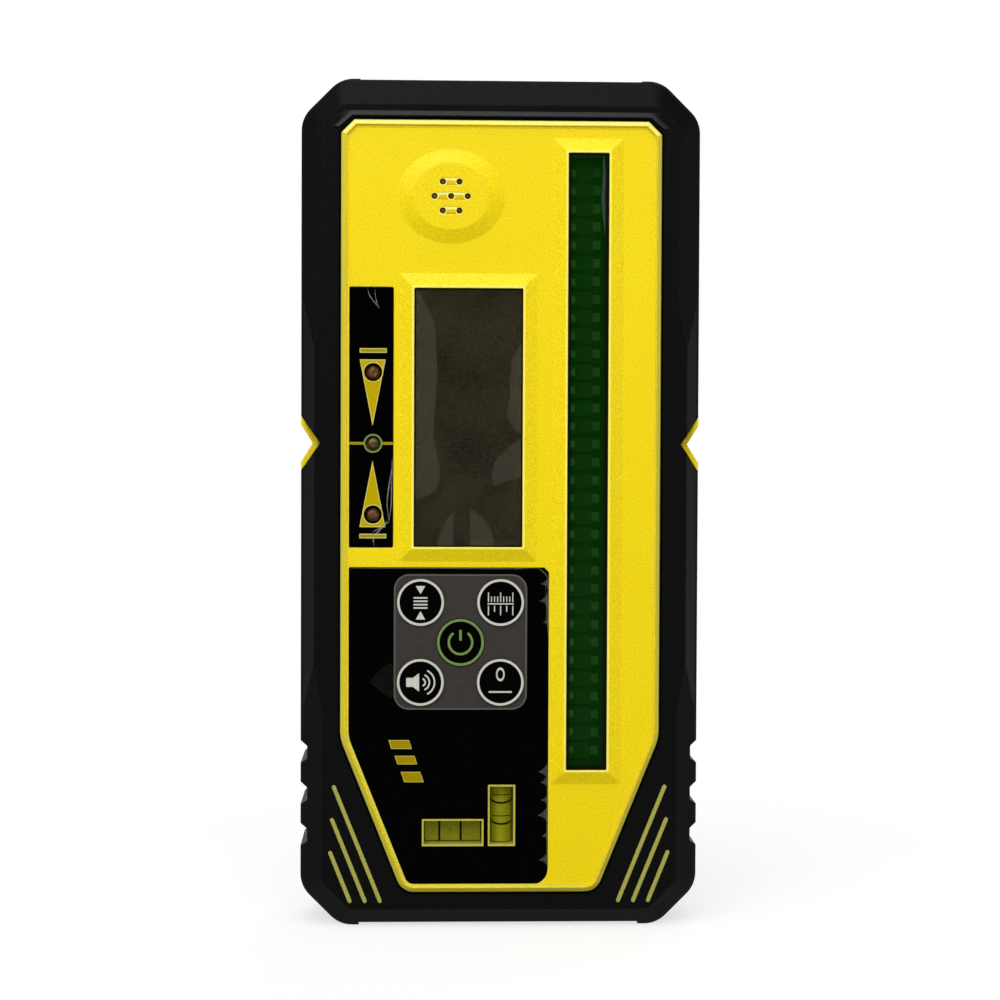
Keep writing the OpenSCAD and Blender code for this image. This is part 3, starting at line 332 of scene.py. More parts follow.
@dataclass(frozen=True)
class Sheet(Finish):
    """A printed film or clear plastic: even colour, faint dust, which on the lamps is a painted
    highlight, and a slow ripple.
    """

    dust_and_sheen: str = "#808080"
    dust_and_sheen_share: float = 0.05
    dust_and_sheen_mm: float = 0.5
    dust_and_sheen_detail: Point = (4.0, 0.7)
    dust_and_sheen_range: Point = (0.5, 0.8)
    ripple_mm: float = 8.0
    ripple_detail: float = 1.0
    ripple_strength: float = 0.5
    ripple_depth: float = 0.02
    gloss_range: Point = (0.3, 0.7)
    gloss_spread: float = 0.05
    cloud: str = "#000000"
    cloud_mm: float = 12.0
    cloud_share: float = 0.0
    cloud_range: Point = (0.4, 0.62)

    def pattern(self, weave: Weave) -> Inputs:
        """Adds clouds and dust in the colour (on the lamps, the dust is a painted highlight), a
        ripple in the normal and a spread of gloss.

        Args:
            weave: The material's nodes.

        Returns:
            The shader's inputs that vary.
        """
        dust_and_sheen = weave.noise(self.dust_and_sheen_mm, *self.dust_and_sheen_detail)
        specks = weave.fit(dust_and_sheen, *self.dust_and_sheen_range, 0.0, self.dust_and_sheen_share)
        veil = weave.fit(weave.noise(self.cloud_mm), *self.cloud_range, 0.0, self.cloud_share)
        skin = weave.blend(veil, self.colour, self.cloud)
        return {"Base Color": weave.blend(specks, skin, self.dust_and_sheen),
                "Roughness": weave.fit(dust_and_sheen, *self.gloss_range, *self.spread(self.gloss_spread)),
                "Normal": weave.bump(weave.noise(self.ripple_mm, self.ripple_detail),
                                     self.ripple_strength, self.ripple_depth)}


class Lay(Enum):
    """The axis across which a machined or layered surface shows its lines."""

    X = "X"
    Y = "Y"


@dataclass(frozen=True)
class Lined(Finish):
    """A surface with fine parallel lines, as turned, rolled or layered stock has."""

    line: str = "#808080"
    line_mm: float = 0.2
    line_share: float = 0.3
    line_detail: float = 2.0
    line_gloss: Point = (0.8, 1.2)
    line_strength: float = 0.4
    line_depth: float = 0.01
    lay: Lay = Lay.Y
    wander: float = 1.0
    centre: Optional[Point] = None

    def pattern(self, weave: Weave) -> Inputs:
        """Adds the lines to the colour, the gloss and the normal.

        Args:
            weave: The material's nodes.

        Returns:
            The shader's inputs that vary.
        """
        place = weave.place()
        if self.centre:
            x, z = metres(*self.centre)
            place = weave.vector("SUBTRACT", place, (x, 0.0, z))[0]
        lines = weave.add("TexWave", {
            "Vector": place, "Scale": 1.0 / (self.line_mm * MM) / WAVE,
            "Distortion": self.wander, "Detail": self.line_detail},
            bands_direction=self.lay.value, rings_direction="Y",
            wave_type="RINGS" if self.centre else "BANDS").outputs["Fac"]
        mark = weave.fit(lines, high=self.line_share)
        low, high = (self.roughness * share for share in self.line_gloss)
        return {"Base Color": weave.blend(mark, self.colour, self.line),
                "Roughness": weave.fit(lines, low=low, high=high),
                "Normal": weave.bump(lines, self.line_strength, self.line_depth)}


@dataclass(frozen=True)
class Circuit(Finish):
    """Solder mask over copper: a cell pattern of tracks that shows through the lacquer."""

    track: str = "#2C7A3C"
    track_mm: float = 2.5
    track_range: Point = (0.05, 0.1)
    track_strength: float = 0.5
    track_depth: float = 0.03
    jitter: float = 0.6

    def pattern(self, weave: Weave) -> Inputs:
        """Adds tracks as raised, lighter cell borders.

        Args:
            weave: The material's nodes.

        Returns:
            The shader's inputs that vary.
        """
        cells = weave.add("TexVoronoi", {
            "Vector": weave.place(), "Scale": 1.0 / (self.track_mm * MM),
            "Randomness": self.jitter},
            feature="DISTANCE_TO_EDGE", distance="MANHATTAN").outputs[0]
        track = weave.fit(cells, *self.track_range, 1.0, 0.0)
        return {"Base Color": weave.blend(track, self.colour, self.track),
                "Normal": weave.bump(track, self.track_strength, self.track_depth)}


@dataclass(frozen=True)
class CellWrap(Finish):
    """A shrunk cell jacket: one tone over most of the length, a second at one end."""

    cap: str = "#B98B3A"
    from_z: float = 56.0
    edge: float = 0.1
    ripple_mm: float = 3.0
    ripple_strength: float = 0.3
    ripple_depth: float = 0.05

    def pattern(self, weave: Weave) -> Inputs:
        """Adds the end band along Z and a faint ripple of the film.

        Args:
            weave: The material's nodes.

        Returns:
            The shader's inputs that vary.
        """
        height = weave.add("SeparateXYZ", {"Vector": weave.place()}).outputs["Z"]
        start, edge = metres(self.from_z, self.edge)
        band = weave.fit(height, start - edge, start + edge)
        return {"Base Color": weave.blend(band, self.colour, self.cap),
                "Normal": weave.bump(weave.noise(self.ripple_mm), self.ripple_strength,
                                     self.ripple_depth)}


def film(state: str, colour: str, alpha: float, dust_and_sheen: str, specular: float, dust_and_sheen_share: float,
         dust_and_sheen_mm: float = 0.6, roughness: float = 0.3) -> Sheet:
    """Gives the finish of clear polyethylene film in some state."""
    return Sheet(f"polyethylene_film_{state}", colour, roughness, ior=1.51, alpha=alpha,
                 specular=specular, dust_and_sheen=dust_and_sheen, dust_and_sheen_share=dust_and_sheen_share, dust_and_sheen_mm=dust_and_sheen_mm)


def ink(tone: str, colour: str, dust_and_sheen: str, roughness: float, specular: float, dust_and_sheen_share: float,
        dust_and_sheen_mm: float = 0.4) -> Sheet:
    """Gives the finish of a screen-printed ink: flat, slightly mottled, with a satin face."""
    return Sheet(f"ink_screened_{tone}", colour, roughness, specular=specular, dust_and_sheen=dust_and_sheen,
                 dust_and_sheen_share=dust_and_sheen_share, dust_and_sheen_mm=dust_and_sheen_mm)


# ABS, moulded in a spark-eroded tool: a warm satin yellow with a sandy grain, with a painted
# highlight round the windows and along the edges, and olive painted shade in the recesses. The
# grain is drawn coarser than the tool's, so that it shows.
YELLOW_ABS = PanelSkin("abs_moulded_yellow", "#FBE810", 0.42, ior=1.54, specular=0.14,
                       shade="#F6DF08", fleck="#D4AA00", fleck_share=0.75, grain_mm=0.26,
                       grain_depth=0.05, grain_strength=0.7, edge_mm=0.3, edge_highlight="#FFF28A",
                       edge_highlight_share=0.6, crest_highlight="#FDEC66", recess_shade="#8A9054")
# The same ABS, paler: a painted highlight on the rim's top, the upper halves of the speaker bars
# and the rims round the speaker holes.
PAINTED_HIGHLIGHT_ABS = Moulded("abs_painted_highlight_yellow", "#FDF284", 0.35, ior=1.54, specular=0.3,
                     shade="#F6EC72", fleck="#EEDC50", fleck_share=0.3, grain_mm=0.3)
# The same ABS, greyer: painted shade along the rim's sides and foot, and in the gutter's lower
# left.
PAINTED_SHADE_ABS = Moulded("abs_painted_shade_yellow", "#E6DA48", 0.4, ior=1.54, specular=0.2,
                      shade="#DACE3C", fleck="#C2B42A", fleck_share=0.5, grain_mm=0.3)
# Thermoplastic rubber over-moulded on the casing: soft black that holds little light, with a
# leathery grain and a paler painted highlight along its edges.
RUBBER = Moulded("tpe_overmoulded_black", "#030403", 0.38, specular=0.045,
                 shade="#040504", fleck="#0F110F", fleck_share=0.8, grain_mm=0.32,
                 grain_depth=0.06, grain_strength=0.8, edge_mm=0.3, edge_highlight="#262826", edge_highlight_share=0.8)
# The same rubber, shinier and greyer: a painted highlight on the lip that faces up.
PAINTED_HIGHLIGHT_RUBBER = Moulded("tpe_painted_highlight_grey", "#141614", 0.42, specular=0.12, shade="#1A1C1A",
                        fleck="#2A2C2A", fleck_share=0.7, grain_depth=0.05, edge_mm=0.2)
# Black: painted shadow in the gap between rubber and panel, round the lamp domes and in the speaker
# holes.
PAINTED_SHADOW_BLACK = Moulded("painted_shadow_black", "#020202", 0.8, ior=1.41, specular=0.02, shade="#030303")
# ABS, moulded, black: a little glossier than the rubber, finer grain, with a paler painted
# highlight along its edges.
BLACK_ABS = Moulded("abs_moulded_black", "#151616", 0.45, ior=1.54, specular=0.22,
                    shade="#191A1A", fleck="#232525", fleck_share=0.5, edge_mm=0.25,
                    edge_highlight="#484A4A", edge_highlight_share=0.9)
# Silicone cord in its groove: dull dark grey.
SEAL = Moulded("silicone_moulded_grey", "#333433", 0.7, ior=1.41, shade="#3A3B3A")
# Glass-filled nylon of connectors and switches: dry black with pale specks.
NYLON = Moulded("nylon_moulded_black", "#181818", 0.6, ior=1.53, shade="#202020",
                fleck="#3A3A3A", fleck_share=0.4, grain_mm=0.3)
# Epoxy of the photodiodes: smooth, and dark green behind the filter.
DIODE = Moulded("epoxy_cast_dark", "#1C6414", 0.4, ior=1.55, specular=0.2, shade="#15540F",
                grain_depth=0.005)
# Acetal switch plungers: milky white, slightly waxy.
ACETAL = Moulded("acetal_moulded_white", "#D8D6CC", 0.4, ior=1.48, shade="#CFCDC3")
# Acrylic vial block and tube: clear yellow-green, with a painted glow that keeps it bright in the
# shade.
VIAL = Sheet("acrylic_cast_yellow", "#8E8E10", 0.1, ior=1.49, alpha=0.75, specular=0.08,
             glow=0.12, dust_and_sheen="#C2C02E", dust_and_sheen_share=0.7)
# Dyed spirit: yellow-green, clear.
SPIRIT = Sheet("spirit_dyed_green", "#747A0C", 0.05, ior=1.36, alpha=0.8, dust_and_sheen="#8A9226",
               dust_and_sheen_mm=2.0)
# Air in the spirit: a lens that gathers a little more light than what surrounds it.
BUBBLE = Sheet("air_in_spirit", "#9A9A24", 0.12, ior=1.3, alpha=0.25, specular=0.3,
               dust_and_sheen="#B8B860", dust_and_sheen_share=0.4, dust_and_sheen_mm=0.6)
# Tinted acrylic cover of the display: nearly black smoke, polished.
COVER = Sheet("acrylic_smoked", "#2E2A1C", 0.14, ior=1.49, alpha=0.8, specular=0.06,
              dust_and_sheen="#5A543E", dust_and_sheen_share=0.8, dust_and_sheen_mm=0.28, cloud="#1A1A12", cloud_mm=14.0,
              cloud_share=0.9)
# Liquid crystal glass, unpowered: olive grey with broad, darker clouds.
LCD = Sheet("glass_polarised_olive", "#948C66", 0.3, ior=1.52, dust_and_sheen="#54584A", dust_and_sheen_share=0.9,
            dust_and_sheen_mm=9.0)
# Protective film where it has let go of its base: a greyer, paler veil.
FILM_LIFT = film("lifted", "#94907A", 0.085, "#B0AC9A", 0.15, 0.3)
# The same film on the black label, where the lift is hardly seen.
FILM_FAINT = film("faint", "#8A8880", 0.02, "#B0AEA6", 0.1, 0.3)
# Peaks of the film's edge: grey and creased, half clear.
FILM_CUSP = film("peaked", "#7C766E", 0.26, "#1E1C1A", 0.2, 0.9, 0.5, 0.35)
# Creased film edge that catches the light: a broken silvery line.
FILM_CREASE = film("creased", "#C4C2B8", 0.34, "#3A3A36", 0.3, 0.95)
# Edge of the film over the keypad label: a fine pale line, a painted highlight.
FILM_EDGE = film("edge", "#A8A08A", 0.28, "#2A2822", 0.3, 0.8, 1.5)
# Sheen of the film over the detector: a cool grey-green streak.
FILM_SHEEN = film("sheen", "#8CA898", 0.07, "#5C7868", 0.15, 0.6)
# Green acrylic filter of the detector: dark bottle green, polished.
GREEN_FILTER = Sheet("acrylic_filter_green", "#073202", 0.12, ior=1.49, alpha=0.45,
                     specular=0.03, dust_and_sheen="#0C3E06", dust_and_sheen_share=0.4, dust_and_sheen_mm=0.4)
# Polycarbonate label, printed black on its back: deep gloss black with a faint ripple.
LABEL = Sheet("polycarbonate_label_black", "#010101", 0.22, ior=1.58, specular=0.008,
              dust_and_sheen="#060706", dust_and_sheen_share=0.3, dust_and_sheen_mm=0.4, ripple_mm=10.0)
# Key caps under the same film: the same black, a little softer.
KEY_CAP = Sheet("polycarbonate_key_black", "#020202", 0.26, ior=1.58, specular=0.01,
                dust_and_sheen="#080908", dust_and_sheen_share=0.3, dust_and_sheen_mm=0.4, ripple_mm=6.0)
# Inks of the labels: yellow and olive signs with a paler edge, and a grey field with its own.
INK_YELLOW = ink("yellow", "#B8A000", "#9A8400", 0.5, 0.04, 0.7)
INK_MUSTARD = ink("mustard", "#9C8800", "#847000", 0.5, 0.04, 0.7)
INK_YELLOW_EDGE = ink("pale_yellow", "#C9BE5C", "#B5A94C", 0.4, 0.15, 0.5)
INK_OLIVE = ink("olive", "#948A14", "#807610", 0.5, 0.04, 0.5)
INK_GREY = ink("grey", "#383431", "#524E49", 0.45, 0.05, 0.7, 0.35)
INK_GREY_EDGE = ink("pale_grey", "#55524F", "#63605C", 0.45, 0.15, 0.5, 0.35)
# Inks of the signs on the keys, off-white or leaf green, and of the black lines on the vials.
INK_WHITE = ink("white", "#C6C5BA", "#A6A599", 0.4, 0.2, 0.5, 0.3)
INK_GREEN = ink("green", "#6C8A48", "#53703A", 0.4, 0.2, 0.5, 0.3)
INK_BLACK = ink("black", "#030402", "#0C0C08", 0.35, 0.05, 0.3)
# Dark border along the windows' edges: painted shadow of the recess they sit in.
PAINTED_SHADOW_BORDER = ink("border", "#060A04", "#10160C", 0.4, 0.04, 0.4)
# Ink of the frames round the vials, over their lips: a duller yellow than the panel.
VIAL_FRAME = ink("dull_yellow", "#BDB746", "#9C962E", 0.4, 0.15, 0.6)
# Diffused lamp resin, unlit: brownish and milky, with paler mottling that is painted highlight on
# the swirled resin.
LAMP = Sheet("epoxy_lamp_diffused", "#543412", 0.18, ior=1.53, coat=0.1, dust_and_sheen="#AE8246",
             specular=0.2, dust_and_sheen_share=1.0, dust_and_sheen_mm=0.7, ripple_mm=1.0, ripple_depth=0.4)
# The centre lamp, darker: its paler mottling is painted highlight too.
LAMP_CENTRE = Sheet("epoxy_lamp_green_ring", "#3C3010", 0.18, ior=1.53, coat=0.1, specular=0.2,
                    dust_and_sheen="#9C8440", dust_and_sheen_share=1.0, dust_and_sheen_mm=0.9, ripple_mm=1.0, ripple_depth=0.4)
# Zinc-plated steel, rolled or headed: bright bluish grey with faint drawing lines.
ZINC = Lined("steel_zinc_plated", "#B9BCBE", 0.32, 1.0, line="#8E9194", line_mm=0.3,
             line_share=0.4)
# Brass, turned on the lathe: yellow metal with fine rings.
BRASS = Lined("brass_turned", "#C9A24A", 0.28, 1.0, line="#8A6A2A", line_mm=0.6,
              line_share=0.6, line_depth=0.03, wander=0.3, centre=(0.0, 96.0))
# Tinned terminals behind the filter: dull metal that takes on its green.
TIN = Lined("copper_tinned", "#58B04A", 0.5, 0.3, line="#3F8C36", line_mm=0.3)
# The lit ends of the photodiodes' leads: brighter.
TIN_BRIGHT = Lined("copper_tinned_bright", "#6CE048", 0.5, 0.1, line="#58B83E", line_mm=0.3)
# Zebra strip of silicone and carbon layers: reddish brown with fine dark bands.
ZEBRA = Lined("silicone_layered", "#7A4A55", 0.6, line="#241A1C", line_mm=0.25,
              line_share=0.9, lay=Lay.X, wander=0.0)
# Woven cloth behind the speaker holes: rusty brown in the shade.
SPEAKER_CLOTH = Lined("polyester_woven_brown", "#7A4A0C", 0.8, specular=0.1, line="#3A1C04",
                      line_mm=0.3, line_share=0.6, lay=Lay.X, wander=0.0)
# The detector's board under a darker mask, so that its diodes stand out.
DARK_BOARD = Circuit("fr4_solder_mask_dark", "#042207", 0.4, ior=1.55, specular=0.2,
                     track="#0A3A0E", track_mm=1.8)
# Fibreglass board under green solder mask: glossy green with paler tracks.
BOARD = Circuit("fr4_solder_mask_green", "#145226", 0.3, ior=1.55)
# Cell jackets: shrunk film, green with a copper-coloured end, which a negative edge puts below.
WRAP_LEFT = CellWrap("pvc_jacket_left", "#2F6B45", 0.3, from_z=58.0)
WRAP_RIGHT = CellWrap("pvc_jacket_right", "#2F6B45", 0.3, from_z=27.0, edge=-0.1)

NODE_FINISHES: dict[str, Finish] = {node: finish for finish, nodes in (
    (YELLOW_ABS, "front_casing"), (RUBBER, "front_bumper rear_bumper"),
    (BLACK_ABS, "rear_casing battery_door"), (SEAL, "case_seal door_gasket"),
    (ZINC, "case_screws board_screws battery_contacts"), (SPEAKER_CLOTH, "speaker_mesh"),
    (NYLON, "buzzer display_holder detector_headers controller_chip lamp_spacers switch_bodies"),
    (COVER, "display_window"), (LCD, "display_panel"), (ZEBRA, "display_contacts"),
    (GREEN_FILTER, "detector_window"), (DARK_BOARD, "detector_board"), (DIODE, "photodiodes"),
    (TIN, "photodiode_terminals"), (BOARD, "main_board"), (LABEL, "lamp_label keypad_label"),
    (LAMP, "lamp_upper lamp_lower"), (LAMP_CENTRE, "lamp_centre"),
    (VIAL, "level_vial plumb_vial vial_plugs"), (SPIRIT, "level_spirit plumb_spirit"),
    (BRASS, "mount_insert"), (WRAP_LEFT, "battery_left"), (WRAP_RIGHT, "battery_right"),
    *((KEY_CAP, f"key_{key}") for key in KEYS), *((ACETAL, f"plunger_{key}") for key in KEYS))
    for node in nodes.split()}


class Pick(Enum):
    """The kind of element that a selection takes."""

    VERT = "VERT"
    EDGE = "EDGE"
    FACE = "FACE"


class Bench:
    """A modeller's bench: one piece at a time, shaped with Blender's operators."""

    @staticmethod
    def take(*pieces: Object) -> None:
        """Selects some pieces alone, in object mode, and makes the first one active.

        Args:
            *pieces: The pieces; with none, nothing stays selected.
        """
        if bpy.context.object and bpy.context.object.mode != "OBJECT":
            bpy.ops.object.mode_set(mode="OBJECT")
        bpy.ops.object.select_all(action="DESELECT")
        for piece in pieces:
            piece.select_set(True)
        if pieces:
            bpy.context.view_layer.objects.active = pieces[0]

    @staticmethod
    def start(add: Callable[..., Any], **settings: Any) -> Object:
        """Starts a piece from a primitive.

        Args:
            add: The operator that adds the primitive.
            **settings: The operator's settings.

        Returns:
            The piece, with its place moved into its mesh.
        """
        Bench.take()
        add(**settings)
        bpy.ops.object.transform_apply(location=True, rotation=True, scale=True)
        return bpy.context.object

    @staticmethod
    def edit(piece: Object) -> None:
        """Opens a piece in edit mode with all of it selected.

        Args:
            piece: The piece to open.
        """
        Bench.take(piece)
        bpy.ops.object.mode_set(mode="EDIT")
        bpy.ops.mesh.select_mode(type=Pick.VERT.value)
        bpy.ops.mesh.select_all(action="SELECT")

    @staticmethod
    def close() -> None:
        """Merges doubles, turns the faces outwards and leaves edit mode."""
        bpy.ops.mesh.select_all(action="SELECT")
        bpy.ops.mesh.remove_doubles(threshold=MERGE * MM)
        bpy.ops.mesh.normals_make_consistent(inside=False)
        bpy.ops.object.mode_set(mode="OBJECT")

    @staticmethod
    def pick(kind: Pick, test: Test) -> None:
        """Selects, in edit mode, the elements whose middle and way pass a test.

        Args:
            kind: Vertices, edges or faces.
            test: Takes the middle in millimetres, and the normal or an edge's direction.
        """
        bpy.ops.mesh.select_mode(type=kind.value)
        bpy.ops.mesh.select_all(action="DESELECT")
        mesh = bpy.context.object.data
        shape = bmesh.from_edit_mesh(mesh)
        for part in {Pick.VERT: shape.verts, Pick.EDGE: shape.edges, Pick.FACE: shape.faces}[kind]:
            if kind is Pick.VERT:
                middle, way = part.co, part.normal
            elif kind is Pick.EDGE:
                one, other = (corner.co for corner in part.verts)
                middle, way = (one + other) / 2, (other - one).normalized()
            else:
                middle, way = part.calc_center_median(), part.normal
            if test(middle / MM, way):
                part.select_set(True)
        shape.select_flush_mode()
        bmesh.update_edit_mesh(mesh)

    @staticmethod
    def resize(by: Sequence[float], about: Sequence[float]) -> None:
        """Scales what is selected about a point in millimetres."""
        bpy.ops.transform.resize(value=by, center_override=metres(*about))

    @staticmethod
    def shift(by: Sequence[float]) -> None:
        """Moves what is selected by a step in millimetres, and closes the piece."""
        bpy.ops.transform.translate(value=metres(*by))
        Bench.close()

    @staticmethod
    def draw_out(by: Sequence[float]) -> None:
        """Draws the whole of the open piece out by a step in millimetres, and closes it.

        Args:
            by: The step.
        """
        bpy.ops.mesh.select_all(action="SELECT")
        bpy.ops.mesh.extrude_region()
        Bench.shift(by)

    @staticmethod
    def plate(span: Sequence[float], depth: Point, corner: float = 0.0) -> Object:
        """Makes a flat plate that faces -Y, with rounded corners where asked.

        Args:
            span: Left, low, right and high edges.
            depth: Y of the front and of the back.
            corner: Radius of the four corners.

        Returns:
            The plate.
        """
        left, low, right, high = span
        front, back = depth
        piece = Bench.start(
            bpy.ops.mesh.primitive_cube_add, size=MM,
            location=metres((left + right) / 2, (front + back) / 2, (low + high) / 2),
            scale=(right - left, back - front, high - low))
        if corner:
            Bench.edit(piece)
            Bench.pick(Pick.EDGE, lambda _, way: abs(way.y) > FACING)
            bpy.ops.mesh.bevel(offset=corner * MM, segments=CORNER_STEPS, affect="EDGES")
            Bench.close()
        return piece

    @staticmethod
    def wedge(middle: float, half: float, ends: Point, depth: Point) -> Object:
        """Makes a flat triangle that faces -Y, from a plate with one edge drawn together.

        Args:
            middle: X of the apex.
            half: Half of the base.
            ends: Z of the base and of the apex.
            depth: Y of the front and of the back.

        Returns:
            The triangle.
        """
        base, apex = ends
        piece = Bench.plate((middle - half, min(ends), middle + half, max(ends)), depth)
        Bench.edit(piece)
        Bench.pick(Pick.VERT, lambda at, _: abs(at.z - apex) < abs(at.z - base))
        Bench.resize((0.0, 1.0, 1.0), (middle, depth[0], apex))
        Bench.close()
        return piece

    @staticmethod
    def disc(at: Point, radius: float, depth: Point, sides: int = 48) -> Object:
        """Makes a round plate that faces -Y.

        Args:
            at: X and Z of the middle.
            radius: Radius.
            depth: Y of the front and of the back.
            sides: Number of sides.

        Returns:
            The disc.
        """
        front, back = depth
        return Bench.start(
            bpy.ops.mesh.primitive_cylinder_add, vertices=sides, radius=radius * MM,
            depth=(back - front) * MM, rotation=(math.pi / 2, 0.0, 0.0),
            location=metres(at[0], (front + back) / 2, at[1]))

    @staticmethod
    def band(at: Point, radii: Point, depth: Point, sides: int = 72,
             keep: Optional[Callable[[float], bool]] = None, stretch: float = 1.0) -> Object:
        """Makes a flat ring, or a part of one, that faces -Y.

        Args:
            at: X and Z of the middle.
            radii: Inner and outer radius.
            depth: Y of the front and of the back.
            sides: Number of sides.
            keep: Takes an angle in degrees, from +X towards +Z, and says if it stays.
            stretch: Factor on the height, for an oval.

        Returns:
            The ring.
        """
        (x, z), (inner, outer), (front, back) = at, radii, depth
        piece = Bench.start(bpy.ops.mesh.primitive_circle_add, vertices=sides,
                            radius=inner * MM, location=metres(x, back, z),
                            rotation=(math.pi / 2, 0.0, 0.0))
        Bench.edit(piece)
        bpy.ops.mesh.extrude_region()
        Bench.resize((outer / inner, 1.0, outer / inner), (x, back, z))
        if keep:
            Bench.pick(Pick.FACE, lambda middle, _: not keep(
                math.degrees(math.atan2(middle.z - z, middle.x - x))))
            bpy.ops.mesh.delete(type="FACE")
        bpy.ops.mesh.select_all(action="SELECT")
        if stretch != 1.0:
            Bench.resize((1.0, 1.0, stretch), (x, back, z))
        Bench.draw_out((0.0, front - back, 0.0))
        return piece

    @staticmethod
    def patch(points: Sequence[Point], depth: Point) -> Object:
        """Makes a flat piece that faces -Y with a free outline, from a filled circle.

        Args:
            points: X and Z of the outline's corners, in order.
            depth: Y of the front and of the back.

        Returns:
            The piece.
        """
        front, back = depth
        piece = Bench.start(bpy.ops.mesh.primitive_circle_add, vertices=len(points),
                            radius=MM, fill_type="NGON")
        for corner, (x, z) in zip(piece.data.vertices, points):
            corner.co = Vector((x, back, z)) * MM
        Bench.edit(piece)
        Bench.draw_out((0.0, front - back, 0.0))
        return piece

    @staticmethod
    def ring(outer: Sequence[Point], inner: Sequence[Point], fronts: Point,
             thick: float) -> Object:
        """Makes a strip that faces -Y between two outlines with as many points.

        Args:
            outer: X and Z of the outer outline's points.
            inner: X and Z of the inner outline's points.
            fronts: Y of the front along the outer and along the inner outline.
            thick: Depth of the strip behind its front.

        Returns:
            The strip.
        """
        starts, ends = ([Vector((x, front, z)) * MM for x, z in points]
                        for front, points in zip(fronts, (outer, inner)))
        piece = Bench.start(bpy.ops.mesh.primitive_circle_add, vertices=len(starts), radius=MM)
        for corner, start in zip(piece.data.vertices, starts):
            corner.co = start
        Bench.edit(piece)
        bpy.ops.mesh.extrude_region()
        shape = bmesh.from_edit_mesh(piece.data)
        for corner in (vertex for vertex in shape.verts if vertex.select):
            near = min(range(len(starts)), key=lambda i: (starts[i] - corner.co).length)
            corner.co = ends[near]
        bmesh.update_edit_mesh(piece.data)
        Bench.draw_out((0.0, thick, 0.0))
        return piece

    @staticmethod
    def frame_of(span: Sequence[float], widths: Span, depth: Point) -> Object:
        """Makes a flat frame that faces -Y.

        Args:
            span: Left, low, right and high outer edges.
            widths: Widths of the left, low, right and high sides.
            depth: Y of the front and of the back.

        Returns:
            The frame.
        """
        inside = [edge + side * width for edge, side, width in zip(span, (1, 1, -1, -1), widths)]
        outer, inner = ([(left, low), (right, low), (right, high), (left, high)]
                        for left, low, right, high in (span, inside))
        return Bench.ring(outer, inner, (depth[0],) * 2, depth[1] - depth[0])

    @staticmethod
    def parted(piece: Object, one: Finish, other: Finish, test: Callable[[Any], bool]) -> None:
        """Gives a piece two finishes.

        Args:
            piece: The piece.
            one: Its finish.
            other: Its finish where the test passes.
            test: Takes a face of the mesh.
        """
        for finish in (one, other):
            piece.data.materials.append(finish.material())
        for face in piece.data.polygons:
            face.material_index = int(test(face))

    @staticmethod
    def edged(piece: Object, inset: float, edge: Finish, inner: Finish) -> None:
        """Gives a print a narrow edge in a finish of its own.

        Args:
            piece: The print, which faces -Y.
            inset: Width of the edge.
            edge: Finish of the edge.
            inner: Finish inside the edge.
        """
        Bench.edit(piece)
        Bench.pick(Pick.FACE, lambda _, normal: normal.y < -FACING)
        bpy.ops.mesh.inset(thickness=inset * MM)
        bpy.ops.object.mode_set(mode="OBJECT")
        front = (face for face in piece.data.polygons if face.normal.y < -FACING)
        widest = max(front, key=lambda face: face.area).index
        Bench.parted(piece, edge, inner, lambda face: face.index == widest)

    @staticmethod
    def slide(piece: Object, test: Test, by: Sequence[float]) -> None:
        """Moves the corners that pass a test.

        Args:
            piece: The piece.
            test: Takes a corner's place in millimetres and its normal.
            by: The move in millimetres.
        """
        Bench.edit(piece)
        Bench.pick(Pick.VERT, test)
        Bench.shift(by)

    @staticmethod
    def modify(piece: Object, kind: str, **settings: Any) -> None:
        """Shapes a piece by a modifier.

        Args:
            piece: The piece.
            kind: The modifier's type.
            **settings: The modifier's properties.
        """
        Bench.take(piece)
        modifier = piece.modifiers.new(kind.lower(), kind)
        for name, value in settings.items():
            setattr(modifier, name, value)
        bpy.ops.object.modifier_apply(modifier=modifier.name)

    @staticmethod
    def drill(piece: Object, at: Point, radius: float, depth: Point, sides: int = 48) -> None:
        """Cuts a round hole along Y.

        Args:
            piece: The piece to cut.
            at: X and Z of the hole.
            radius: Its radius.
            depth: Y where it starts and ends.
            sides: Number of sides.
        """
        cutter = Bench.disc(at, radius, depth, sides)
        Bench.modify(piece, "BOOLEAN", operation="DIFFERENCE", solver="EXACT", object=cutter)
        Bench.take(cutter)
        bpy.ops.object.delete()

    @staticmethod
    def soften(piece: Object, width: float) -> None:
        """Rounds the sharp edges of a piece."""
        Bench.modify(piece, "BEVEL", width=width * MM, segments=SOFT_STEPS, limit_method="ANGLE",
                     angle_limit=math.radians(SHARP))

    @staticmethod
    def smooth(piece: Object, angle: float = SHARP) -> None:
        """Shades a piece smooth except at edges from an angle in degrees."""
        Bench.take(piece)
        bpy.ops.object.shade_smooth_by_angle(angle=math.radians(angle))


def seat(name: str, shapes: Sequence[Object], finish: Finish, slot: str, body: str = "casing",
         *nodes: str) -> None:
    """Joins shapes into one piece, dresses it, seats it on its body and reports it.

    Args:
        name: The piece's name.
        shapes: What it is made of.
        finish: Its finish, unless the shapes already have their own.
        slot: The record's material slot; not used.
        body: The body that it moves with.
        *nodes: The nodes that it stands for.
    """
    Bench.take(*shapes)
    if len(shapes) > 1:
        bpy.ops.object.join()
    piece = shapes[0]
    piece.name = piece.data.name = name
    if not piece.data.materials:
        piece.data.materials.append(finish.material())
    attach(piece, body)
    if nodes:
        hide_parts(*nodes)
    LOG.info("%s: %d faces on %s", piece.name, len(piece.data.polygons), body)


def box_of(node: str) -> list[Vector]:
    """Gives the low and the high corner of a node, in millimetres."""
    return [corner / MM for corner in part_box(node)]


def front_of(node: str) -> float:
    """Gives the Y of a node's front, in millimetres."""
    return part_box(node)[0].y / MM


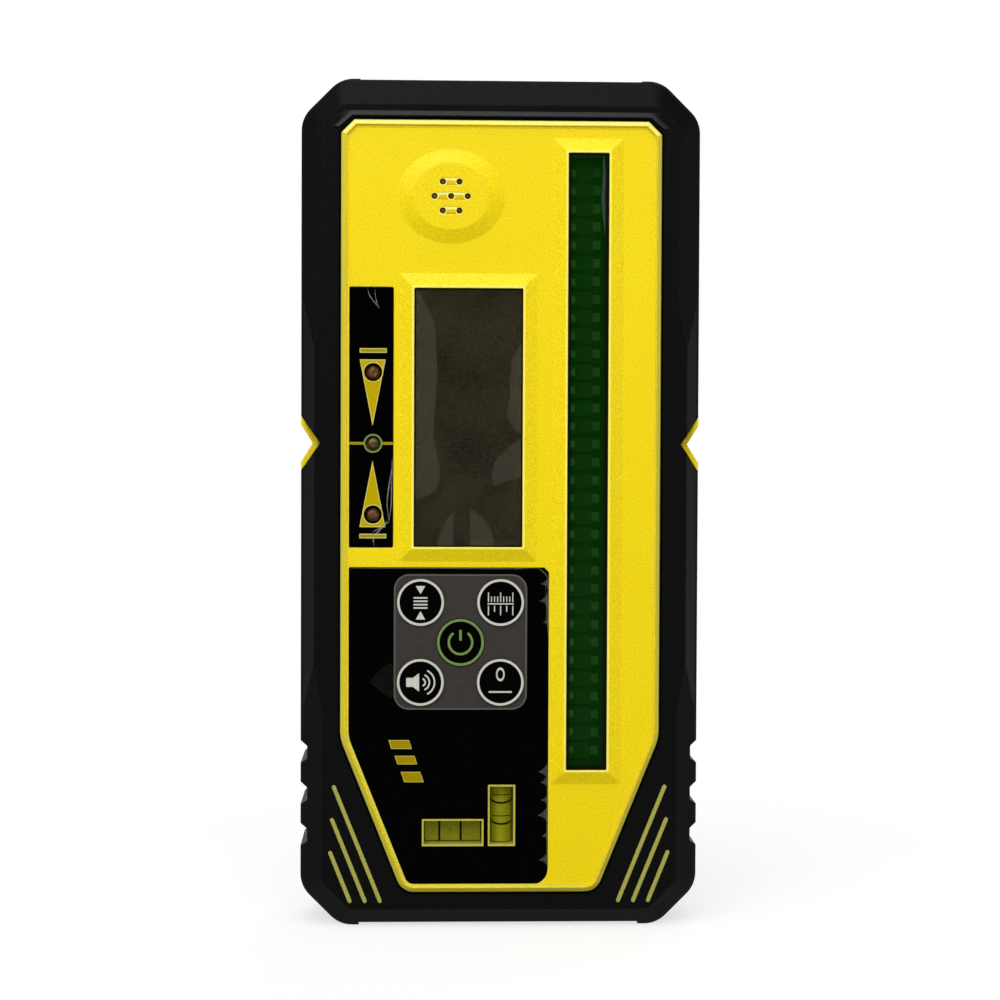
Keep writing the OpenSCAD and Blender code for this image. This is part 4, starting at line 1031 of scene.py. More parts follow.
def middle_of(node: str) -> Point:
    """Gives X and Z of a node's middle, in millimetres."""
    low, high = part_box(node)
    return (low.x + high.x) / 2 / MM, (low.z + high.z) / 2 / MM


def inked(face: float, coats: float = 1.0) -> Point:
    """Gives the front and the back of a print on a face."""
    return face - coats * INK, face


def stepped(y: float, steps: Point) -> Point:
    """Gives the front and the back at steps from a depth."""
    return y + steps[0], y + steps[1]


def shifted(span: Span, at: Point) -> Span:
    """Gives a span moved from the origin to a place."""
    return span[0] + at[0], span[1] + at[1], span[2] + at[0], span[3] + at[1]


def eased(points: Sequence[Point], steps: int = 5) -> list[Point]:
    """Runs a smooth curve through points.

    Args:
        points: X and Z of the points, in order.
        steps: Steps between two points.

    Returns:
        The points of the curve, both ends included.
    """
    path = [Vector(point) for point in points]
    path = [2 * path[0] - path[1], *path, 2 * path[-1] - path[-2]]
    curve = []
    for before, start, end, after in zip(path, path[1:], path[2:], path[3:]):
        for step in range(steps):
            t = step / steps
            curve.append(0.5 * (2 * start + (end - before) * t
                                + (2 * before - 5 * start + 4 * end - after) * t ** 2
                                + (3 * start - before - 3 * end + after) * t ** 3))
    curve.append(path[-2])
    return [(point.x, point.y) for point in curve]


def rounded(corners: Sequence[tuple[float, float, float]], grow: float = 0.0,
            steps: int = 6, least: float = 0.05) -> list[Point]:
    """Draws a convex outline with round corners.

    Args:
        corners: X, Z and radius of each corner, against the clock as seen from the front.
        grow: How far the outline moves outwards.
        steps: Steps round a corner.
        least: Least radius of a corner.

    Returns:
        The outline's points.
    """
    points = []
    count = len(corners)
    for i, (x, z, radius) in enumerate(corners):
        here = Vector((x, z))
        before = (here - Vector(corners[i - 1][:2])).normalized()
        after = (Vector(corners[(i + 1) % count][:2]) - here).normalized()
        start, end = math.atan2(before.x, -before.y), math.atan2(after.x, -after.y)
        turn = (end - start + math.pi) % (2 * math.pi) - math.pi
        inward = Vector((-before.y, before.x)) + Vector((-after.y, after.x))
        arc = max(radius + grow, least)
        middle = here + inward * ((arc - grow) / (1 + before.dot(after)))
        for step in range(steps + 1):
            angle = start + turn * step / steps
            out = Vector((-math.cos(angle), -math.sin(angle)))
            points.append(tuple(middle + out * arc))
    return points


def ribbon(points: Sequence[Point], width: float, ends: float = 0.25) -> list[Point]:
    """Draws a narrow band, pointed at its ends, along a smooth curve.

    Args:
        points: X and Z of points on the curve.
        width: The band's greatest width.
        ends: Share of the width that is left at the ends.

    Returns:
        The band's outline.
    """
    curve = [Vector(point) for point in eased(points)]
    one, other = [], []
    for i, point in enumerate(curve):
        way = (curve[min(i + 1, len(curve) - 1)] - curve[max(i - 1, 0)]).normalized()
        half = width / 2 * (ends + (1 - ends) * math.sin(math.pi * i / (len(curve) - 1)))
        side = Vector((-way.y, way.x)) * half
        one.append(tuple(point + side))
        other.append(tuple(point - side))
    return one + other[::-1]


@dataclass
class LampStrip:
    """The prints of the lamp label: triangles, end bars, rings and the zero line."""

    triangle_half: float = 2.55
    triangle_base: float = 2.5
    triangle_length: float = 13.1
    triangle_shift: float = -0.09
    bar_half: float = 2.65
    bar_gap: float = 1.3
    bar_thick: float = 0.9
    drill: float = 1.78
    drill_reach: float = 1.0
    ring: Point = (1.8, 2.0)
    ring_coats: float = 1.5
    well: float = 1.4
    well_coats: float = 1.2
    green_ring: Point = (1.52, 1.86)
    green_coats: float = 2.0
    line_thick: float = 0.55
    line_margin: float = 0.05
    line_corner: float = 0.05
    edge_inset: float = 0.18
    face: float = field(init=False)

    def __post_init__(self) -> None:
        """Takes the label's face from the frame."""
        self.face = front_of("lamp_label")

    def build(self) -> None:
        """Builds all prints of the label."""
        self.triangles_and_bars()
        self.zero_line()
        self.rings()

    def triangles_and_bars(self) -> None:
        """Makes the triangles, each with a hole round its lamp, and the bars beyond them."""
        depth = inked(self.face)
        triangles, bars = [], []
        for node, out in (("lamp_upper", 1), ("lamp_lower", -1)):
            x, z = middle_of(node)
            base = z + out * self.triangle_base
            triangle = Bench.wedge(x + self.triangle_shift, self.triangle_half,
                                   (base, base - out * self.triangle_length), depth)
            Bench.edged(triangle, self.edge_inset, INK_YELLOW_EDGE, INK_YELLOW)
            Bench.drill(triangle, (x, z), self.drill,
                        (self.face - self.drill_reach, self.face + self.drill_reach))
            triangles.append(triangle)
            near = z + out * (self.triangle_base + self.bar_gap)
            low, high = sorted((near, near + out * self.bar_thick))
            bar = Bench.plate((x - self.bar_half, low, x + self.bar_half, high), depth)
            Bench.edged(bar, self.edge_inset, INK_YELLOW_EDGE, INK_OLIVE)
            bars.append(bar)
        seat("lamp_triangles", triangles, INK_YELLOW, "label_film")
        seat("lamp_end_bars", bars, INK_OLIVE, "label_film")

    def zero_line(self) -> None:
        """Makes the zero line in two parts, from the label's edges to the middle lamp."""
        x, z = middle_of("lamp_centre")
        low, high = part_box("lamp_label")
        half = self.line_thick / 2
        shapes = [Bench.plate((left, z - half, right, z + half), inked(self.face), self.line_corner)
                  for left, right in ((low.x / MM + self.line_margin, x - self.green_ring[0]),
                                      (x + self.green_ring[0], high.x / MM - self.line_margin))]
        seat("lamp_zero_line", shapes, INK_OLIVE, "label_film")

    def rings(self) -> None:
        """Makes the rings round the lamps and the black rings inside them, painted shadow round the
        domes.
        """
        ends = ("lamp_upper", "lamp_lower")
        for name, radii, coats, finish, nodes in (
                ("lamp_rings", self.ring, self.ring_coats, INK_YELLOW_EDGE, ends),
                ("lamp_wells", (self.well, self.drill), self.well_coats, PAINTED_SHADOW_BLACK, ends),
                ("lamp_centre_ring", self.green_ring, self.green_coats, INK_GREEN,
                 ("lamp_centre",))):
            seat(name, [Bench.band(middle_of(node), radii, inked(self.face, coats))
                        for node in nodes], finish, "label_film")


@dataclass
class KeyPrints:
    """The rings and signs on the five keys, and the grey field that they stand in."""

    field_span: Span = (-21.0, 43.45, 5.3, 70.25)
    field_corner: float = 3.0
    field_edge: float = 0.3
    field_drill: float = 4.74
    drill_reach: float = 1.0
    drill_sides: int = 72
    ring: Point = (4.14, 4.62)
    round_sides: int = 96
    head_half: float = 0.95
    heads: Points = ((3.24, 1.63), (-3.39, -1.74))
    lines: tuple[float, ...] = (0.89, 0.23, -0.44, -1.1)
    line_half: float = 1.4
    stroke: float = 0.3
    stroke_round: float = 0.3
    rule: tuple[float, float, float] = (-0.27, 2.6, 0.24)
    rule_reach: float = 2.4
    fine: tuple[float, ...] = (1.9, 1.1, 1.1, 1.1, 1.9, 1.1, 1.1, 1.1, 1.9)
    fine_place: Point = (0.1, 0.1)
    coarse: tuple[float, ...] = (1.9, 1.2, 1.9, 1.2, 1.9)
    coarse_place: Point = (0.11, -0.64)
    arc: Point = (2.08, 2.54)
    arc_top: float = 90.0
    arc_gap: float = 36.0
    arc_bar: Span = (-0.24, 0.32, 0.24, 2.5)
    arc_corner: float = 0.2
    horn: Span = (-1.46, -1.83, -0.23, 1.83)
    horn_throat: float = -1.0
    horn_fall: float = 0.93
    box: Span = (-2.78, -0.9, -1.46, 0.9)
    box_corner: float = 0.15
    waves: Points = ((0.74, 70.0), (1.57, 66.0), (2.58, 65.0))
    wave_shift: float = 0.23
    wave: float = 0.16
    nought: Point = (0.57, 0.86)
    nought_rise: float = 1.59
    nought_sides: int = 64
    nought_stretch: float = 1.58
    nought_bar: tuple[float, float, float] = (-1.9, 2.3, 0.32)
    depth: Point = field(init=False)

    def __post_init__(self) -> None:
        """Takes the face of the keys from the frame."""
        self.depth = inked(front_of("key_power"))

    def build(self) -> None:
        """Builds the field, the rings and the signs."""
        self.grey_field()
        for key in KEYS:
            ring = Bench.band(middle_of(f"key_{key}"), self.ring, self.depth, self.round_sides)
            seat(f"key_{key}_ring", [ring], INK_GREEN if key == "power" else INK_WHITE,
                 "key_cap", f"button_{key}")
        for key, sign in zip(KEYS, (self.bandwidth_sign, self.units_sign, self.power_sign,
                                    self.volume_sign, self.zero_sign)):
            seat(f"key_{key}_sign", sign(*middle_of(f"key_{key}")),
                 INK_GREEN if key == "power" else INK_WHITE, "key_cap", f"button_{key}")

    def grey_field(self) -> None:
        """Makes the grey field with a paler edge and a hole round each key."""
        face = front_of("keypad_label")
        piece = Bench.plate(self.field_span, inked(face), self.field_corner)
        Bench.edged(piece, self.field_edge, INK_GREY_EDGE, INK_GREY)
        for key in KEYS:
            Bench.drill(piece, middle_of(f"key_{key}"), self.field_drill,
                        (face - self.drill_reach, face + self.drill_reach), self.drill_sides)
        seat("key_field", [piece], INK_GREY, "label_film")

    def bar(self, x: float, z: float, half: float, thick: float) -> Object:
        """Makes one stroke of a sign.

        Args:
            x: X of its middle.
            z: Z of its middle.
            half: Half of its length.
            thick: Its thickness.

        Returns:
            The stroke.
        """
        span = (x - half, z - thick / 2, x + half, z + thick / 2)
        return Bench.plate(span, self.depth, min(thick, 2 * half) * self.stroke_round)

    def bandwidth_sign(self, x: float, z: float) -> list[Object]:
        """Makes two arrow heads that close on four lines.

        Args:
            x: X of the key's middle.
            z: Z of the key's middle.

        Returns:
            The shapes of the sign.
        """
        return [*(Bench.wedge(x, self.head_half, (z + base, z + apex), self.depth)
                  for base, apex in self.heads),
                *(self.bar(x, z + up, self.line_half, self.stroke) for up in self.lines)]

    def units_sign(self, x: float, z: float) -> list[Object]:
        """Makes a rule with fine marks above its line and coarse marks below.

        Args:
            x: X of the key's middle.
            z: Z of the key's middle.

        Returns:
            The shapes of the sign.
        """
        up, half, thick = self.rule
        shapes = [self.bar(x, z + up, half, thick)]
        for marks, (half, gap), way in ((self.fine, self.fine_place, 1),
                                        (self.coarse, self.coarse_place, -1)):
            pitch = 2 * self.rule_reach / (len(marks) - 1)
            start, foot = x - self.rule_reach, z + gap
            shapes += [self.bar(start + i * pitch, foot + way * tall / 2, half, tall)
                       for i, tall in enumerate(marks)]
        return shapes

    def power_sign(self, x: float, z: float) -> list[Object]:
        """Makes the open ring and bar of a power sign.

        Args:
            x: X of the key's middle.
            z: Z of the key's middle.

        Returns:
            The shapes of the sign.
        """
        return [Bench.band((x, z), self.arc, self.depth, self.round_sides,
                           lambda angle: abs(angle - self.arc_top) > self.arc_gap),
                Bench.plate(shifted(self.arc_bar, (x, z)), self.depth, self.arc_corner)]

    def volume_sign(self, x: float, z: float) -> list[Object]:
        """Makes a loudspeaker with three waves.

        Args:
            x: X of the key's middle.
            z: Z of the key's middle.

        Returns:
            The shapes of the sign.
        """
        horn = Bench.plate(shifted(self.horn, (x, z)), self.depth)
        for way in (1, -1):
            Bench.slide(horn, lambda at, _: at.x < x + self.horn_throat and (at.z - z) * way > 0,
                        (0, 0, -way * self.horn_fall))
        box = Bench.plate(shifted(self.box, (x, z)), self.depth, self.box_corner)
        return [horn, box, *(
            Bench.band((x + self.wave_shift, z), (radius - self.wave, radius + self.wave),
                       self.depth, self.round_sides, lambda angle, half=half: abs(angle) < half)
            for radius, half in self.waves)]

    def zero_sign(self, x: float, z: float) -> list[Object]:
        """Makes a plain nought over a short bar.

        Args:
            x: X of the key's middle.
            z: Z of the key's middle.

        Returns:
            The shapes of the sign.
        """
        up, half, thick = self.nought_bar
        return [Bench.band((x, z + self.nought_rise), self.nought, self.depth,
                           self.nought_sides, stretch=self.nought_stretch),
                self.bar(x, z + up, half, thick)]


@dataclass
class LabelMarks:
    """The slanted marks of the keypad label: left, right, high, low and lean of each."""

    tops: tuple[tuple[float, float, float, float, float], ...] = (
        (-22.0, -17.95, 37.42, 35.68, 0.56), (-20.78, -16.85, 34.3, 32.62, 0.55),
        (-19.55, -15.72, 31.12, 29.08, 0.7))
    edge: float = 0.1

    def build(self) -> None:
        """Makes the three marks, each leaning to the right at its foot."""
        shapes = []
        for left, right, high, low, lean in self.tops:
            mark = Bench.plate((left, low, right, high), inked(front_of("keypad_label")))
            Bench.slide(mark, lambda at, _: at.z < (high + low) / 2, (lean, 0, 0))
            Bench.edged(mark, self.edge, INK_YELLOW_EDGE, INK_MUSTARD)
            shapes.append(mark)
        seat("label_slanted_marks", shapes, INK_MUSTARD, "label_film")


@dataclass
class VialMarks:
    """The marks of the two vials, their bubbles and the printed frames round their wells."""

    well_gap: float = 0.25
    frame_w: float = 0.34
    level_lines: Point = (-11.86, -7.61)
    level_thick: float = 0.42
    level_corner: float = 0.1
    plumb_lines: Point = (25.45, 21.25)
    plumb_thick: float = 0.34
    plumb_lean: float = 0.38
    back_line: float = 0.8
    back_thick: float = 0.16
    back_share: float = 0.6
    hoop_gap: float = 0.005
    hoop_swell: float = 1.02
    hoop_sides: int = 64
    bubble: tuple[float, float, float] = (1.15, 0.5, 0.75)
    bubble_sides: tuple[int, int] = (32, 16)
    bubble_proud: float = 0.07
    bubble_back: float = 0.3
    bubble_sink: float = 0.6
    bubble_angle: float = 80.0

    def build(self) -> None:
        """Makes the frames, the lines, the rings and the bubbles."""
        self.frames()
        self.level()
        self.plumb()

    def frames(self) -> None:
        """Makes the frames printed on the lips of both wells."""
        out, depth = self.well_gap + self.frame_w, inked(front_of("keypad_label"))
        shapes = []
        for low, high in (box_of("level_vial"), box_of("plumb_vial")):
            span = (low.x - out, low.z - out, high.x + out, high.z + out)
            shapes.append(Bench.frame_of(span, (self.frame_w,) * 4, depth))
        seat("vial_frames", shapes, VIAL_FRAME, "label_film")

    def level(self) -> None:
        """Makes the two lines and the bubble of the level vial."""
        low, high = box_of("level_vial")
        half = self.level_thick / 2
        lines = [Bench.plate((x - half, low.z, x + half, high.z), inked(low.y),
                             self.level_corner) for x in self.level_lines]
        seat("level_vial_lines", lines, INK_BLACK, "vial_acrylic")
        self.lens("level_bubble", sum(self.level_lines) / 2, low.y, (low.z + high.z) / 2)

    def plumb(self) -> None:
        """Makes the two rings, the far sides seen through the spirit, and the plumb bubble."""
        low, high = box_of("plumb_vial")
        x, y, radius = (low.x + high.x) / 2, (low.y + high.y) / 2, (high.x - low.x) / 2
        rings = []
        for z in self.plumb_lines:
            ring = self.hoop((x, y, z), radius, self.plumb_thick)
            for corner in ring.data.vertices:
                corner.co.z += self.plumb_lean * (corner.co.y - y * MM)
            far = self.hoop((x, y, z + self.back_line), radius, self.back_thick)
            Bench.edit(far)
            Bench.pick(Pick.FACE, lambda at, _: at.y > y - radius * self.back_share)
            bpy.ops.mesh.delete(type="FACE")
            Bench.close()
            rings += [ring, far]
        seat("plumb_vial_rings", rings, INK_BLACK, "vial_acrylic")
        self.lens("plumb_bubble", x, y - radius, sum(self.plumb_lines) / 2 - self.bubble_sink)

    def hoop(self, middle: tuple[float, float, float], radius: float, thick: float) -> Object:
        """Makes a thin hoop round the plumb vial.

        Args:
            middle: Its middle.
            radius: Radius of the vial.
            thick: Height of the hoop.

        Returns:
            The hoop.
        """
        x, y, z = middle
        ring = Bench.start(bpy.ops.mesh.primitive_circle_add, vertices=self.hoop_sides,
                           radius=(radius + self.hoop_gap) * MM,
                           location=metres(x, y, z - thick / 2))
        Bench.edit(ring)
        bpy.ops.mesh.extrude_region()
        Bench.resize((self.hoop_swell, self.hoop_swell, 1.0), middle)
        Bench.draw_out((0.0, 0.0, thick))
        return ring

    def lens(self, name: str, x: float, face: float, z: float) -> None:
        """Makes a bubble that swells from a vial's face, with a flattened back.

        Args:
            name: The bubble's name.
            x: X of its middle.
            face: Y of the vial's face.
            z: Z of its middle.
        """
        middle = face + self.bubble[1] - self.bubble_proud
        sides, rows = self.bubble_sides
        piece = Bench.start(bpy.ops.mesh.primitive_uv_sphere_add, segments=sides,
                            ring_count=rows, radius=MM, scale=self.bubble,
                            location=metres(x, middle, z))
        Bench.edit(piece)
        Bench.pick(Pick.VERT, lambda at, _: at.y > middle)
        Bench.resize((1.0, self.bubble_back, 1.0), (x, middle, z))
        Bench.close()
        Bench.smooth(piece, self.bubble_angle)
        seat(name, [piece], BUBBLE, "vial_spirit")


@dataclass
class Films:
    """The protective films: where they have lifted on the window and creased on the labels."""

    window_lifts: tuple[Points, ...] = (
        ((-16.45, 126.0), (-14.7, 122.9), (-13.1, 119.4), (-12.9, 115.5), (-12.6, 110.0),
         (-12.95, 103.8), (-13.3, 97.9), (-12.95, 95.2), (-12.2, 92.1), (-12.05, 89.0),
         (-13.1, 86.6), (-16.6, 84.9)),
        ((4.1, 115.8), (2.3, 113.1), (1.8, 109.2), (1.6, 104.6), (1.1, 101.8), (2.4, 99.1),
         (4.1, 97.5)),
        ((4.1, 97.2), (1.3, 95.2), (-1.1, 92.5), (-1.7, 90.1), (-1.5, 88.0), (0.9, 88.6),
         (4.1, 89.4)),
        ((-12.6, 75.8), (-12.2, 77.7), (-10.8, 80.8), (-9.3, 82.5)),
        ((-6.1, 83.2), (-3.8, 81.6), (-1.9, 78.9), (-1.2, 75.8)))
    window_corners: tuple[Points, ...] = (
        ((-17.05, 84.9), (-17.05, 126.0)), (), (), ((-9.3, 75.8),), ((-6.1, 75.8),))
    key_lift: Points = (
        (-25.8, 48.9), (-23.6, 51.4), (-21.2, 52.3), (-21.15, 46.0), (-23.4, 46.9))
    cusp_heights: tuple[float, ...] = (68.3, 64.9, 60.7, 31.0, 28.9, 25.4, 22.4, 18.3, 13.5)
    cusp: Points = ((0.0, 1.5), (-0.5, 0.85), (-1.05, 0.35), (-1.6, 0.05), (-1.0, -0.12),
                    (-0.45, -0.5), (0.0, -1.1))
    cusp_inset: float = 0.06
    cusp_size: tuple[float, float, float] = (0.95, 0.27, 2.4)
    creases: tuple[tuple[float, Points], ...] = (
        (0.16, ((-26.3, 126.3), (-26.0, 125.2), (-25.2, 124.0), (-24.0, 122.5))),
        (0.12, ((-24.9, 126.2), (-24.8, 125.0), (-24.5, 123.7), (-24.0, 122.5))),
        (0.22, ((-21.4, 93.0), (-21.45, 91.2), (-21.8, 89.2), (-22.1, 87.2), (-22.4, 83.9),
                (-22.0, 80.6))),
        (0.18, ((-21.35, 92.6), (-21.5, 88.0), (-21.6, 84.0), (-22.0, 80.6))),
        (0.3, ((-22.0, 80.6), (-22.8, 80.0), (-24.5, 78.2), (-25.1, 77.3), (-24.9, 75.9))),
        (0.14, ((-22.3, 80.9), (-23.6, 79.6), (-24.6, 78.9), (-25.3, 78.6))))
    crease_coats: float = 2.2
    edge_w: float = 0.1
    edge_coats: float = 1.5
    keypad_edges: tuple[tuple[float, Points], ...] = (
        (0.2, ((-29.7, 71.35), (-15.0, 71.42), (0.0, 71.38), (7.4, 71.42))),
        (0.2, ((7.4, 71.42), (8.2, 71.0), (9.0, 70.2), (9.4, 69.5))),
        (0.16, ((9.42, 69.5), (9.45, 66.0), (9.4, 62.0), (9.3, 58.5))),
        (0.12, ((8.9, 68.0), (9.2, 63.5), (9.0, 61.0))),
        (0.14, ((9.42, 33.0), (9.45, 27.0), (9.42, 20.0), (9.4, 13.0))))
    glints: tuple[tuple[float, Points], ...] = (
        (0.75, ((19.9, 152.9), (20.1, 149.0), (19.9, 144.0), (20.35, 139.0), (20.5, 136.0))),)
    glint_coats: float = 1.0

    def build(self) -> None:
        """Builds the lifts, the cusps, the creases and the glint on the detector's window."""
        self.lifts()
        self.cusps()
        self.lines("label_film_creases", self.creases, "lamp_label", self.crease_coats,
                   FILM_CREASE)
        self.label_edge()
        self.lines("keypad_film_edges", self.keypad_edges, "keypad_label", self.edge_coats,
                   FILM_EDGE)
        self.lines("detector_film_glint", self.glints, "detector_window", self.glint_coats,
                   FILM_SHEEN, "green_filter")

    def lines(self, name: str, ribbons: tuple[tuple[float, Points], ...], node: str,
              coats: float, finish: Finish, slot: str = "label_film") -> None:
        """Makes narrow bands of film on a node's face.

        Args:
            name: The piece's name.
            ribbons: The width of each band and the points that it runs through.
            node: The node.
            coats: How far the bands stand out.
            finish: Their finish.
            slot: The record's material slot.
        """
        depth = inked(front_of(node), coats)
        seat(name, [Bench.patch(ribbon(points, width), depth)
                    for width, points in ribbons], finish, slot)

    def lifts(self) -> None:
        """Makes the paler veils on the display window and beside the volume key."""
        depth = inked(front_of("display_window"))
        shapes = [Bench.patch(eased(edge) + list(corners), depth)
                  for edge, corners in zip(self.window_lifts, self.window_corners)]
        seat("window_film_lifts", shapes, FILM_LIFT, "display_cover")
        lift = Bench.patch(eased(self.key_lift), inked(front_of("keypad_label")))
        seat("label_film_lift", [lift], FILM_FAINT, "label_film")

    def cusps(self) -> None:
        """Makes the small peaks where the film lets go along the keypad label's edge."""
        depth = inked(front_of("keypad_label"))
        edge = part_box("keypad_label")[1].x / MM - self.cusp_inset
        mean, spread, turn = self.cusp_size
        shapes = []
        for i, height in enumerate(self.cusp_heights):
            size = mean + spread * math.sin(turn * i)
            points = [(edge + x * size, height + z * size) for x, z in self.cusp]
            shapes.append(Bench.patch(eased(points), depth))
        seat("label_film_cusps", shapes, FILM_CUSP, "label_film")

    def label_edge(self) -> None:
        """Makes the film's edge round the lamp label."""
        low, high = box_of("lamp_label")
        edge = Bench.frame_of((low.x, low.z, high.x, high.z), (self.edge_w,) * 4,
                              inked(front_of("lamp_label")))
        seat("label_film_edge", [edge], FILM_LIFT, "label_film")


@dataclass
class Edges:
    """The small borders and edges: window borders, diode caps, seam, rim, lip and speaker holes."""

    display_border: Span = (0.28, 0.28, 0.28, 0.28)
    detector_border: Span = (0.5, 0.85, 0.72, 0.55)
    diode_count: int = 33
    diode_share: float = 0.96
    cap_span: Point = (14.05, 14.8)
    cap_half: float = 0.7
    cap_corner: float = 0.1
    panel: tuple[tuple[float, float, float], ...] = (
        (-19.31, 7.15, 3.5), (19.31, 7.15, 3.5), (31.6, 37.65, 9.0), (31.6, 157.0, 0.6),
        (29.0, 159.6, 0.6), (-29.0, 159.6, 0.6), (-31.6, 157.0, 0.6), (-31.6, 37.65, 9.0))
    seam_w: float = 0.4
    seam_y: float = -12.52
    seam_thick: float = 0.3
    rim_insets: Point = (0.12, 0.9)
    rim_foot: float = -12.4
    rim_lift: float = 0.015
    rim_thick: float = 0.2
    rim_highlight_z: float = 157.5
    gutter_insets: Point = (1.12, 1.7)
    gutter_y: float = -13.015
    gutter_x: float = 1.0
    gutter_z: float = 60.0
    lip_outer: Points = ((-33.1, 158.2), (-29.9, 161.1), (-29.2, 161.3))
    lip_inner: Points = ((-32.05, 157.95), (-29.3, 160.25))
    lip_depth: Point = (-13.1, -11.6)
    lip_fall: float = 0.55
    lip_round: float = 0.12
    near: float = 0.01
    hole_pitch: float = 3.26
    row_pitch: float = 2.83
    row_counts: tuple[int, int, int] = (2, 3, 2)
    bar_edges: Point = (0.69, -0.55)
    bar_crest: float = 0.22
    bar_falls: Point = (0.02, 0.35)
    bar_thick: float = 0.6
    bar_near: Point = (0.1, 0.05)
    hole_rim: Point = (0.6, 0.84)
    hole_sides: int = 32
    rim_sides: int = 40
    cloth_sides: int = 24
    hole_rim_y: float = -13.985
    hole_rim_depth: Point = (-0.01, 0.3)
    hole_drill: Point = (-1.0, 2.0)
    well_gap: float = 0.05
    well_depth: Point = (0.0, 0.3)
    cloth_y: float = -13.6
    cloth_swell: float = 0.38
    cloth_depth: Point = (-0.1, 0.2)
    cloth_round: float = 0.08

    def build(self) -> None:
        """Builds all edges."""
        self.borders()
        self.diode_caps()
        self.seam()
        self.rim()
        self.lip()
        self.speaker_rims()

    def borders(self) -> None:
        """Makes the dark borders along the edges of both windows, painted shadow of their recesses.
        """
        for node, slot, widths in (("display_window", "display_cover", self.display_border),
                                   ("detector_window", "green_filter", self.detector_border)):
            low, high = box_of(node)
            border = Bench.frame_of((low.x, low.z, high.x, high.z), widths, inked(low.y))
            seat(f"{node}_border", [border], PAINTED_SHADOW_BORDER, slot)

    def diode_caps(self) -> None:
        """Makes the bright end of each photodiode's leads, which faces the window."""
        low, high = box_of("photodiodes")
        tall = (high.z - low.z) / self.diode_count * self.diode_share
        pitch = (high.z - low.z - tall) / (self.diode_count - 1)
        caps = []
        for i in range(self.diode_count):
            z = low.z + tall / 2 + i * pitch
            left, right = self.cap_span
            caps.append(Bench.plate((left, z - self.cap_half, right, z + self.cap_half),
                                    inked(low.y), self.cap_corner))
        seat("photodiode_caps", caps, TIN_BRIGHT, "tinned_terminal")

    def seam(self) -> None:
        """Makes a black band in the seam round the panel: painted shadow in the gap."""
        bead = Bench.ring(rounded(self.panel, self.seam_w), rounded(self.panel),
                          (self.seam_y,) * 2, self.seam_thick)
        seat("panel_seam", [bead], PAINTED_SHADOW_BLACK, "seal_rubber")

    def rim(self) -> None:
        """Makes the skin on the slope of the panel's rim, a painted highlight along its top and
        painted shade down its sides, and the gutter inside it, with painted shade at its lower
        left.
        """
        outer, inner = (rounded(self.panel, -inset) for inset in self.rim_insets)
        foot, crest = (self.rim_foot - inset - self.rim_lift for inset in self.rim_insets)
        skin = Bench.ring(outer, inner, (foot, crest), self.rim_thick)
        Bench.smooth(skin)
        Bench.parted(skin, PAINTED_HIGHLIGHT_ABS, PAINTED_SHADE_ABS,
                     lambda face: face.center.z < self.rim_highlight_z * MM)
        seat("panel_rim_skin", [skin], PAINTED_HIGHLIGHT_ABS, "yellow_abs")
        outer, inner = (rounded(self.panel, -inset) for inset in self.gutter_insets)
        gutter = Bench.ring(outer, inner, (self.gutter_y,) * 2, self.rim_thick)
        Bench.parted(gutter, YELLOW_ABS, PAINTED_SHADE_ABS, lambda face: (
            face.center.x < self.gutter_x * MM and face.center.z < self.gutter_z * MM))
        seat("panel_rim_gutter", [gutter], YELLOW_ABS, "yellow_abs")

    def lip(self) -> None:
        """Makes the raised lip above the panel, which slopes up towards the top."""
        outer = [*self.lip_outer, *((-x, z) for x, z in self.lip_outer[::-1])]
        inner = [*((-x, z) for x, z in self.lip_inner), *self.lip_inner[::-1]]
        strip = Bench.patch(outer + inner, self.lip_depth)
        Bench.slide(strip, lambda at, _: at.y < self.lip_depth[0] + self.near and min(
            math.hypot(at.x - x, at.z - z) for x, z in outer) < self.near, (0, self.lip_fall, 0))
        Bench.soften(strip, self.lip_round)
        Bench.smooth(strip)
        # The lip's paler rubber is a painted highlight on its face that turns up.
        seat("bumper_top_lip", [strip], PAINTED_HIGHLIGHT_RUBBER, "bumper_rubber")

    def speaker_rims(self) -> None:
        """Makes the bars between the speaker holes, the rims round the holes, the black wells and
        the cloth behind; the bars' upper halves and the rims are painted highlight, the wells
        painted shadow.
        """
        x, z = middle_of("speaker_mesh")
        rim_y, (hole, rim) = self.hole_rim_y, self.hole_rim
        rims, plugs, wells, uppers, lowers = [], [], [], [], []
        for row, count in enumerate(self.row_counts):
            reach, up = (count - 1) / 2 * self.hole_pitch, z + (row - 1) * self.row_pitch
            holes = [(x - reach + i * self.hole_pitch, up) for i in range(count)]
            for edge, fall, halves in zip(self.bar_edges, self.bar_falls, (uppers, lowers)):
                low, high = sorted((up + self.bar_crest, up + edge))
                half = Bench.plate((x - reach, low, x + reach, high),
                                   (rim_y, rim_y + self.bar_thick))
                Bench.slide(half, lambda at, _: at.y < rim_y + self.bar_near[0]
                            and abs(at.z - up - edge) < self.bar_near[1], (0, fall, 0))
                for at in holes:
                    Bench.drill(half, at, hole, stepped(rim_y, self.hole_drill), self.hole_sides)
                halves.append(half)
            for at in holes:
                rims.append(Bench.band(at, (hole, rim), stepped(rim_y, self.hole_rim_depth),
                                       self.rim_sides))
                wells.append(Bench.disc(at, hole + self.well_gap,
                                        stepped(self.cloth_y, self.well_depth), self.hole_sides))
                plugs.append(Bench.disc(at, self.cloth_swell,
                                        stepped(self.cloth_y, self.cloth_depth), self.cloth_sides))
                Bench.soften(plugs[-1], self.cloth_round)
        seat("speaker_bar_tops", uppers, PAINTED_HIGHLIGHT_ABS, "yellow_abs")
        seat("speaker_bar_feet", lowers, YELLOW_ABS, "yellow_abs")
        seat("speaker_hole_rims", rims, PAINTED_HIGHLIGHT_ABS, "yellow_abs")
